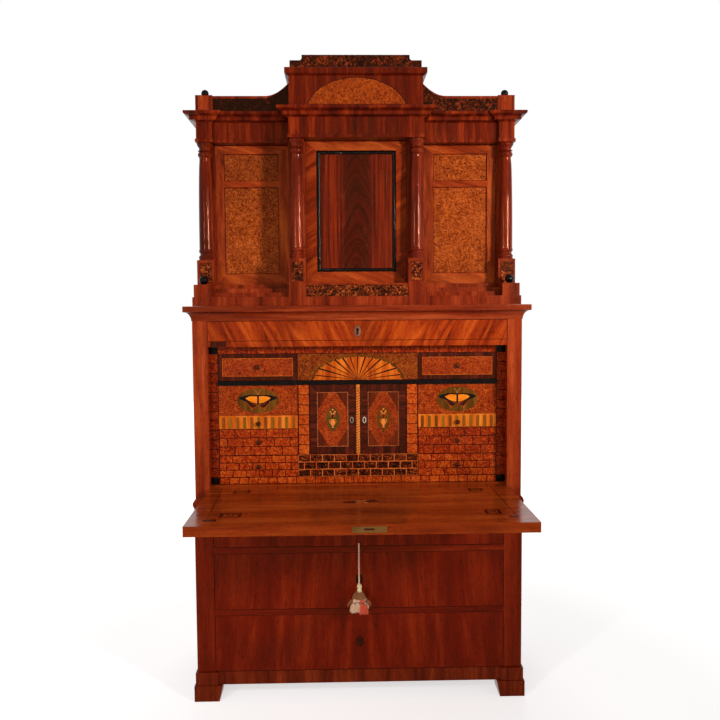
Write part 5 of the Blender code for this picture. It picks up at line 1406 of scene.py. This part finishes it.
# %% Veneer the top drawers
TOP_SIDE, TOP_RAIL, TOP_LINE = 0.0160, 0.0165, -0.0012
for side, way in SIDES:
    name = f"gallery_drawer_top_{side}"
    face, body = drawer_face(name)
    outer = front_box(name, PANEL_GAP)
    field = (outer[0] + TOP_SIDE, outer[1] + TOP_RAIL, outer[2] - TOP_SIDE, outer[3] - TOP_RAIL)
    rails, stiles = mitred(outer, field)
    inlay(f"top_drawer_band_{side}", rails + stiles, face, body, "rosewood")
    inlay(f"top_drawer_field_{side}", [rectangle(*field)], face, body, "door_burl")
    piece(f"top_drawer_line_{side}", line_round(field, TOP_LINE, 0, face, 2), body, "satinwood")
print("top drawers done")

# %% [markdown]
# ## The little doors
# Two rosewood doors, with grain running across their mitred frames. Inside a dotted line of stringing lies
# a long burl octagon with mahogany corners, and in its middle an oval with a vase of flowers.

# %% Veneer the little doors
DOOR_GAP = 0.0005
FIELD_NEAR, FIELD_FAR, FIELD_LOW, FIELD_HIGH = 0.0352, 0.1456, 0.8972, 1.0925
STRING_WIDE, DOT_LONG, DOT_GAP = 0.0020, 0.0050, 0.0024
OCTAGON_ACROSS, OCTAGON_UP = 0.37, 0.33
KEYHOLE_X, KEYHOLE_Z, KEYHOLE_RING = 0.0225, 0.992, ((0.0066, 0.0113), (0.0038, 0.0084))
VASE_OVAL, VASE_LIFT = (0.0245, 0.0435), 0.001
VASE_GROUND = {"left": "dull_green", "right": "olive_wood"}
VASE = [(-6, 0), (6, 0), (4.6, -3.5), (8.6, -9), (8, -16), (3, -24), (1.6, -27), (5.6, -31), (-5.6, -31),
        (-1.6, -27), (-3, -24), (-8, -16), (-8.6, -9), (-4.6, -3.5)]
HANDLE = [(4.8, -3), (9.5, -1), (13, -5), (12.8, -11), (8, -15.5), (8.2, -13.6), (11, -10), (11, -6),
          (9, -3.6)]
STEMS = [[(-0.8, 0), (0.8, 0), (0.7, 31), (-0.7, 31)], [(-0.6, 0), (1, 0), (-6.6, 23), (-7.8, 22.4)],
         [(-1, 0), (0.6, 0), (7.8, 22.4), (6.6, 23)]]
LEAVES = [[(1, 4), (9, 10), (11.5, 20), (4.5, 14)], [(-1, 4), (-9, 10), (-11.5, 20), (-4.5, 14)]]
FLOWERS = [oval(place, 3.2, 3.4, 12) for place in ((-7.6, 26), (7.6, 26), (0, 34), (-3.4, 19), (3.8, 20))]
KEYHOLE = [oval((0, 2), 2.4, 2.8, 16), rectangle(-1.2, -6.2, 1.2, 1.0)]


def dotted(box, wide, long, gap):
    """Short dashes of stringing all round a rectangle."""
    x0, z0, x1, z1 = box
    dashes = []
    for length, place in ((x1 - x0, lambda s, t: (x0 + s, z0 + t)), (x1 - x0, lambda s, t: (x0 + s, z1 - t)),
                          (z1 - z0, lambda s, t: (x0 + t, z0 + s)), (z1 - z0, lambda s, t: (x1 - t, z0 + s))):
        count = int(length / (long + gap))
        pitch = length / count
        for k in range(count):
            first, last = k * pitch + gap / 2, (k + 1) * pitch - gap / 2
            dashes.append([place(first, 0), place(last, 0), place(last, wide), place(first, wide)])
    return dashes


def octagon(box):
    """The box with its corners cut off."""
    x0, z0, x1, z1 = box
    cut_x, cut_z = (x1 - x0) * OCTAGON_ACROSS, (z1 - z0) * OCTAGON_UP
    return [(x0 + cut_x, z0), (x1 - cut_x, z0), (x1, z0 + cut_z), (x1, z1 - cut_z), (x1 - cut_x, z1),
            (x0 + cut_x, z1), (x0, z1 - cut_z), (x0, z0 + cut_z)]


for side, way in SIDES:
    door = f"cupboard_door_{side}"
    here = (front_of(door), door)
    x0, x1 = both_ways(way, FIELD_NEAR, FIELD_FAR)
    field = (x0, FIELD_LOW, x1, FIELD_HIGH)
    inner = shrunk(field, STRING_WIDE)
    middle, lock = ((x0 + x1) / 2, (FIELD_LOW + FIELD_HIGH) / 2 + VASE_LIFT), (way * KEYHOLE_X, KEYHOLE_Z)
    rails, stiles = mitred(front_box(door, DOOR_GAP), field)
    vase = [drawn(VASE, middle)] + pair(HANDLE, middle) + [drawn(flower, middle) for flower in FLOWERS]
    inlays(*here, (
        ("door_band_level", rails, "rosewood", 1),
        ("door_band_upright", stiles, "rosewood_across_" + side, 1),
        ("door_corners", [rectangle(*inner)], "corner_mahogany", 1),
        ("door_stringing", dotted(field, STRING_WIDE, DOT_LONG, DOT_GAP), "pale_line", 2),
        ("door_octagon", [octagon(inner)], "door_burl", 2),
        ("door_oval", [oval(middle, *VASE_OVAL, point=0.5)], VASE_GROUND[side], 3),
        ("door_vase", vase, "vase_wood", 5),
        ("door_stems", [drawn(stem, middle) for stem in STEMS], "deep_red", 4),
        ("door_leaves", [drawn(leaf, middle) for leaf in LEAVES], "rope_brown", 4),
    ), "_" + side)
    piece(f"door_keyhole_ring_{side}", oval_ring(lock, *KEYHOLE_RING, here[0], 4, 32), door, "nickel")
    inlay(f"door_keyhole_{side}", [drawn(part, lock) for part in KEYHOLE], *here, "dark_steel", layers=2)
print("little doors done")

# %% [markdown]
# ## The writing flap
# The writing surface is a glossy sheet with a border line and small ornamental plates near its corners. Its
# front edge carries the brass lock plate.

# %% Flap borders and lock
LINE_WIDE = 0.0022
BORDER = (((-0.4760, -0.0300), (-0.4640, -0.4420)), ((0.4640, -0.4420), (0.4600, -0.0300)))
PLATES = [("back_left", (-0.4010, -0.0950), 0.029, 0.020), ("front_left", (-0.3990, -0.3990), 0.033, 0.026),
          ("back_right", (0.3980, -0.1010), 0.024, 0.020), ("front_right", (0.4030, -0.3960), 0.024, 0.026)]
PLATE_SIDE, PLATE_END, BLOCK_HALF, BLOCK_SHARE = 0.0024, 0.006, 0.0045, 0.8
BOW = ((0, 0.15), (0.55, 0.8), (0.26, -0.1), (0.50, -0.8))
PATCHES = [(-0.4730, -0.4690, -0.4340, -0.4480), (0.4400, -0.4650, 0.4700, -0.4470)]
FLAP_MIDDLE = (0.002, -0.2500)
LEAF = [(8, -4), (24, -18), (44, -21), (64, -6), (44, 7), (24, 11)]
PETALS = [oval(place, 7.5, 4.5, 16) for place in ((-13, 10), (12, 12), (0, -2), (-10, -13), (15, -12))]
EDGE_GAP, EDGE_WITHIN = 0.0004, 0.001
LOCK_SLOT, SCREW_IN, SCREW_Z = (0.0030, 0.7490, 0.0330, 0.7530), 0.008, 0.7495
SCREW_RADIUS, SCREW_SLOT = 0.0034, ((-2.8, -1.2), (2.8, 1.2), 0.8)


def strip(a, b, wide):
    """A straight line of veneer from a to b."""
    a, b = Vector(a), Vector(b)
    across = (b - a).normalized().orthogonal() * wide / 2
    return [tuple(a - across), tuple(b - across), tuple(b + across), tuple(a + across)]


def bow_plate(middle, half_wide, half_deep):
    """A small plate: an outline, an end block at each side and a bow tie between them."""
    x, y = middle
    in_wide, in_deep = half_wide - PLATE_SIDE, half_deep - PLATE_END
    outline = ring_of(rectangle(x - half_wide, y - half_deep, x + half_wide, y + half_deep),
                      rectangle(x - in_wide, y - in_deep, x + in_wide, y + in_deep), flap_face)
    shapes = []
    for way in (-1, 1):
        end, deep = x + way * half_wide * BLOCK_SHARE, half_deep * BLOCK_SHARE
        shapes.append(rectangle(end - BLOCK_HALF, y - deep, end + BLOCK_HALF, y + deep))
        shapes.append([(x + way * half_wide * u, y + half_deep * v) for u, v in BOW])
    return joined([outline] + [sheet_of(shape, flap_face) for shape in shapes])


low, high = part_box("writing_flap")
flap_face = on_top(high.z)
on_flap = (flap_face, "flap")
inlay("flap_border_lines", [strip(a, b, LINE_WIDE) for a, b in BORDER], *on_flap, "dark_line")
for name, middle, half_wide, half_deep in PLATES:
    piece("flap_plate_" + name, bow_plate(middle, half_wide, half_deep), "flap", "dark_line")
inlay("flap_corner_patches", [rectangle(*patch) for patch in PATCHES], *on_flap, "dark_line")
leaves = [drawn([(u, tilt * v) for u, v in LEAF], FLAP_MIDDLE, way) for way, tilt in ((-1, 1), (1, -1))]
inlay("flap_leaves", leaves, *on_flap, "rosewood", slot="flap_mahogany")
inlay("flap_petals", [drawn(petal, FLAP_MIDDLE) for petal in PETALS], *on_flap, "pale_line", layers=2)

edge_corners = [v.co for v in nodes["writing_flap"].data.vertices if v.co.y < low.y + EDGE_WITHIN]
edge_xs, edge_zs = [p.x for p in edge_corners], [p.z for p in edge_corners]
x0, z0, x1, z1 = shrunk((min(edge_xs), min(edge_zs), max(edge_xs), max(edge_zs)), EDGE_GAP)
left, bottom, right, top = front_box("lock_plate")
around = [(x0, z0, left, z1), (right, z0, x1, z1), (left, z0, right, bottom), (left, top, right, z1)]
inlay("flap_edge_veneer", [rectangle(*part) for part in around if part[3] > part[1]], on_front(low.y), "flap",
      "edge_mahogany")
screws = ((left + SCREW_IN, SCREW_Z), (right - SCREW_IN, SCREW_Z))
slots = [drawn(strip(*SCREW_SLOT), screw) for screw in screws]
inlays(front_of("lock_plate"), "flap", (
    ("lock_slot", [rectangle(*LOCK_SLOT)], "dark_steel", 1),
    ("lock_screws", [oval(screw, SCREW_RADIUS, SCREW_RADIUS, 20) for screw in screws], "brass", 2),
    ("lock_screw_slots", slots, "dark_steel", 3),
))
print("flap dressed")

# %% [markdown]
# ## Escutcheons of the long drawers
# The long drawers have ebonised ovals round their keyholes, and the frieze drawer has a bone-lined one.
# They are thin plates with the keyhole drawn in a darker piece. A dark line round the edge of each drawer's
# front is painted shadow of the gap round the drawer.

# %% Escutcheons
GAP_SHADOW_OUT, GAP_SHADOW_IN = 0.0001, 0.0014
PLATE, PLATE_INNER = (0.0128, 0.0184), (0.0110, 0.0166)
BONE_RIM, BONE_PLATE = (0.0135, 0.0215), (0.0122, 0.0202)
BUSH_MIDDLE, BUSH, BUSH_INNER = (0.003, 0.612), (0.0055, 0.0055), (0.0035, 0.0035)
BLOCK_NEAR, BLOCK_FAR, BOARD_GAP = 0.001, 0.058, 0.0006
LONG_DRAWER_KEYHOLES = (("drawer_bottom", (0, 0.205)), ("drawer_middle", (-0.0006, 0.432)))
FRIEZE_KEYHOLE, SMALL_KEYHOLE, LARGE_KEYHOLE = (-0.0010, 1.3105), 0.0068, 0.0120
HEAD_RISE, HEAD_SHARE, SLOT_SHARE, HEAD_ARC = 0.45, 0.42, 0.26, (20, -58, 238)


def keyhole_shape(middle, size):
    """A round head over a straight slot."""
    x, z = middle
    radius, slot = size * HEAD_SHARE, size * SLOT_SHARE
    head = oval((x, z + size * HEAD_RISE), radius, radius, *HEAD_ARC)
    return [(x - slot, z - size), (x + slot, z - size)] + head


# Painted shadow: a dark line round each drawer's front stands for the shade in the gap round it.
for name in ("drawer_bottom", "drawer_middle", "drawer_top", "frieze_drawer"):
    line = line_round(front_box(name), GAP_SHADOW_OUT, GAP_SHADOW_IN, front_of(name))
    piece(name + "_edge_line", line, body_of[name], "ray_wood")
for name, middle in LONG_DRAWER_KEYHOLES:
    face = front_of(name)
    inlay(name + "_escutcheon", [oval(middle, *PLATE, 40)], face, name, "ray_wood", layers=4, slot="ebonised")
    piece(name + "_escutcheon_rim", oval_ring(middle, PLATE, PLATE_INNER, face, 5, 40), name, "ebonised")
    inlay(name + "_keyhole", [keyhole_shape(middle, SMALL_KEYHOLE)], face, name, "ebonised", layers=5)
face = front_of("frieze_drawer")
ring = oval_ring(FRIEZE_KEYHOLE, BONE_RIM, BONE_PLATE, face, 3, 48)
piece("frieze_escutcheon_rim", ring, "frieze_drawer", "column_mahogany")
inlays(face, "frieze_drawer", (
    ("frieze_escutcheon", [oval(FRIEZE_KEYHOLE, *BONE_PLATE, 48)], "bone", 1),
    ("frieze_keyhole", [keyhole_shape(FRIEZE_KEYHOLE, LARGE_KEYHOLE)], "dark_steel", 2),
))
x0, z0, x1, z1 = front_box("frieze_board", BOARD_GAP)
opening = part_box("side_left")[1].x
inlay("frieze_board_block", [rectangle(opening + BLOCK_NEAR, z0, opening + BLOCK_FAR, z1)],
      front_of("frieze_board"), "case", "rosewood", slot="mahogany")
bush = oval_ring(BUSH_MIDDLE, BUSH, BUSH_INNER, front_of("drawer_top"), 3, 32)
piece("drawer_top_keyhole_bush", bush, "drawer_top", "brass")
print("escutcheons done")
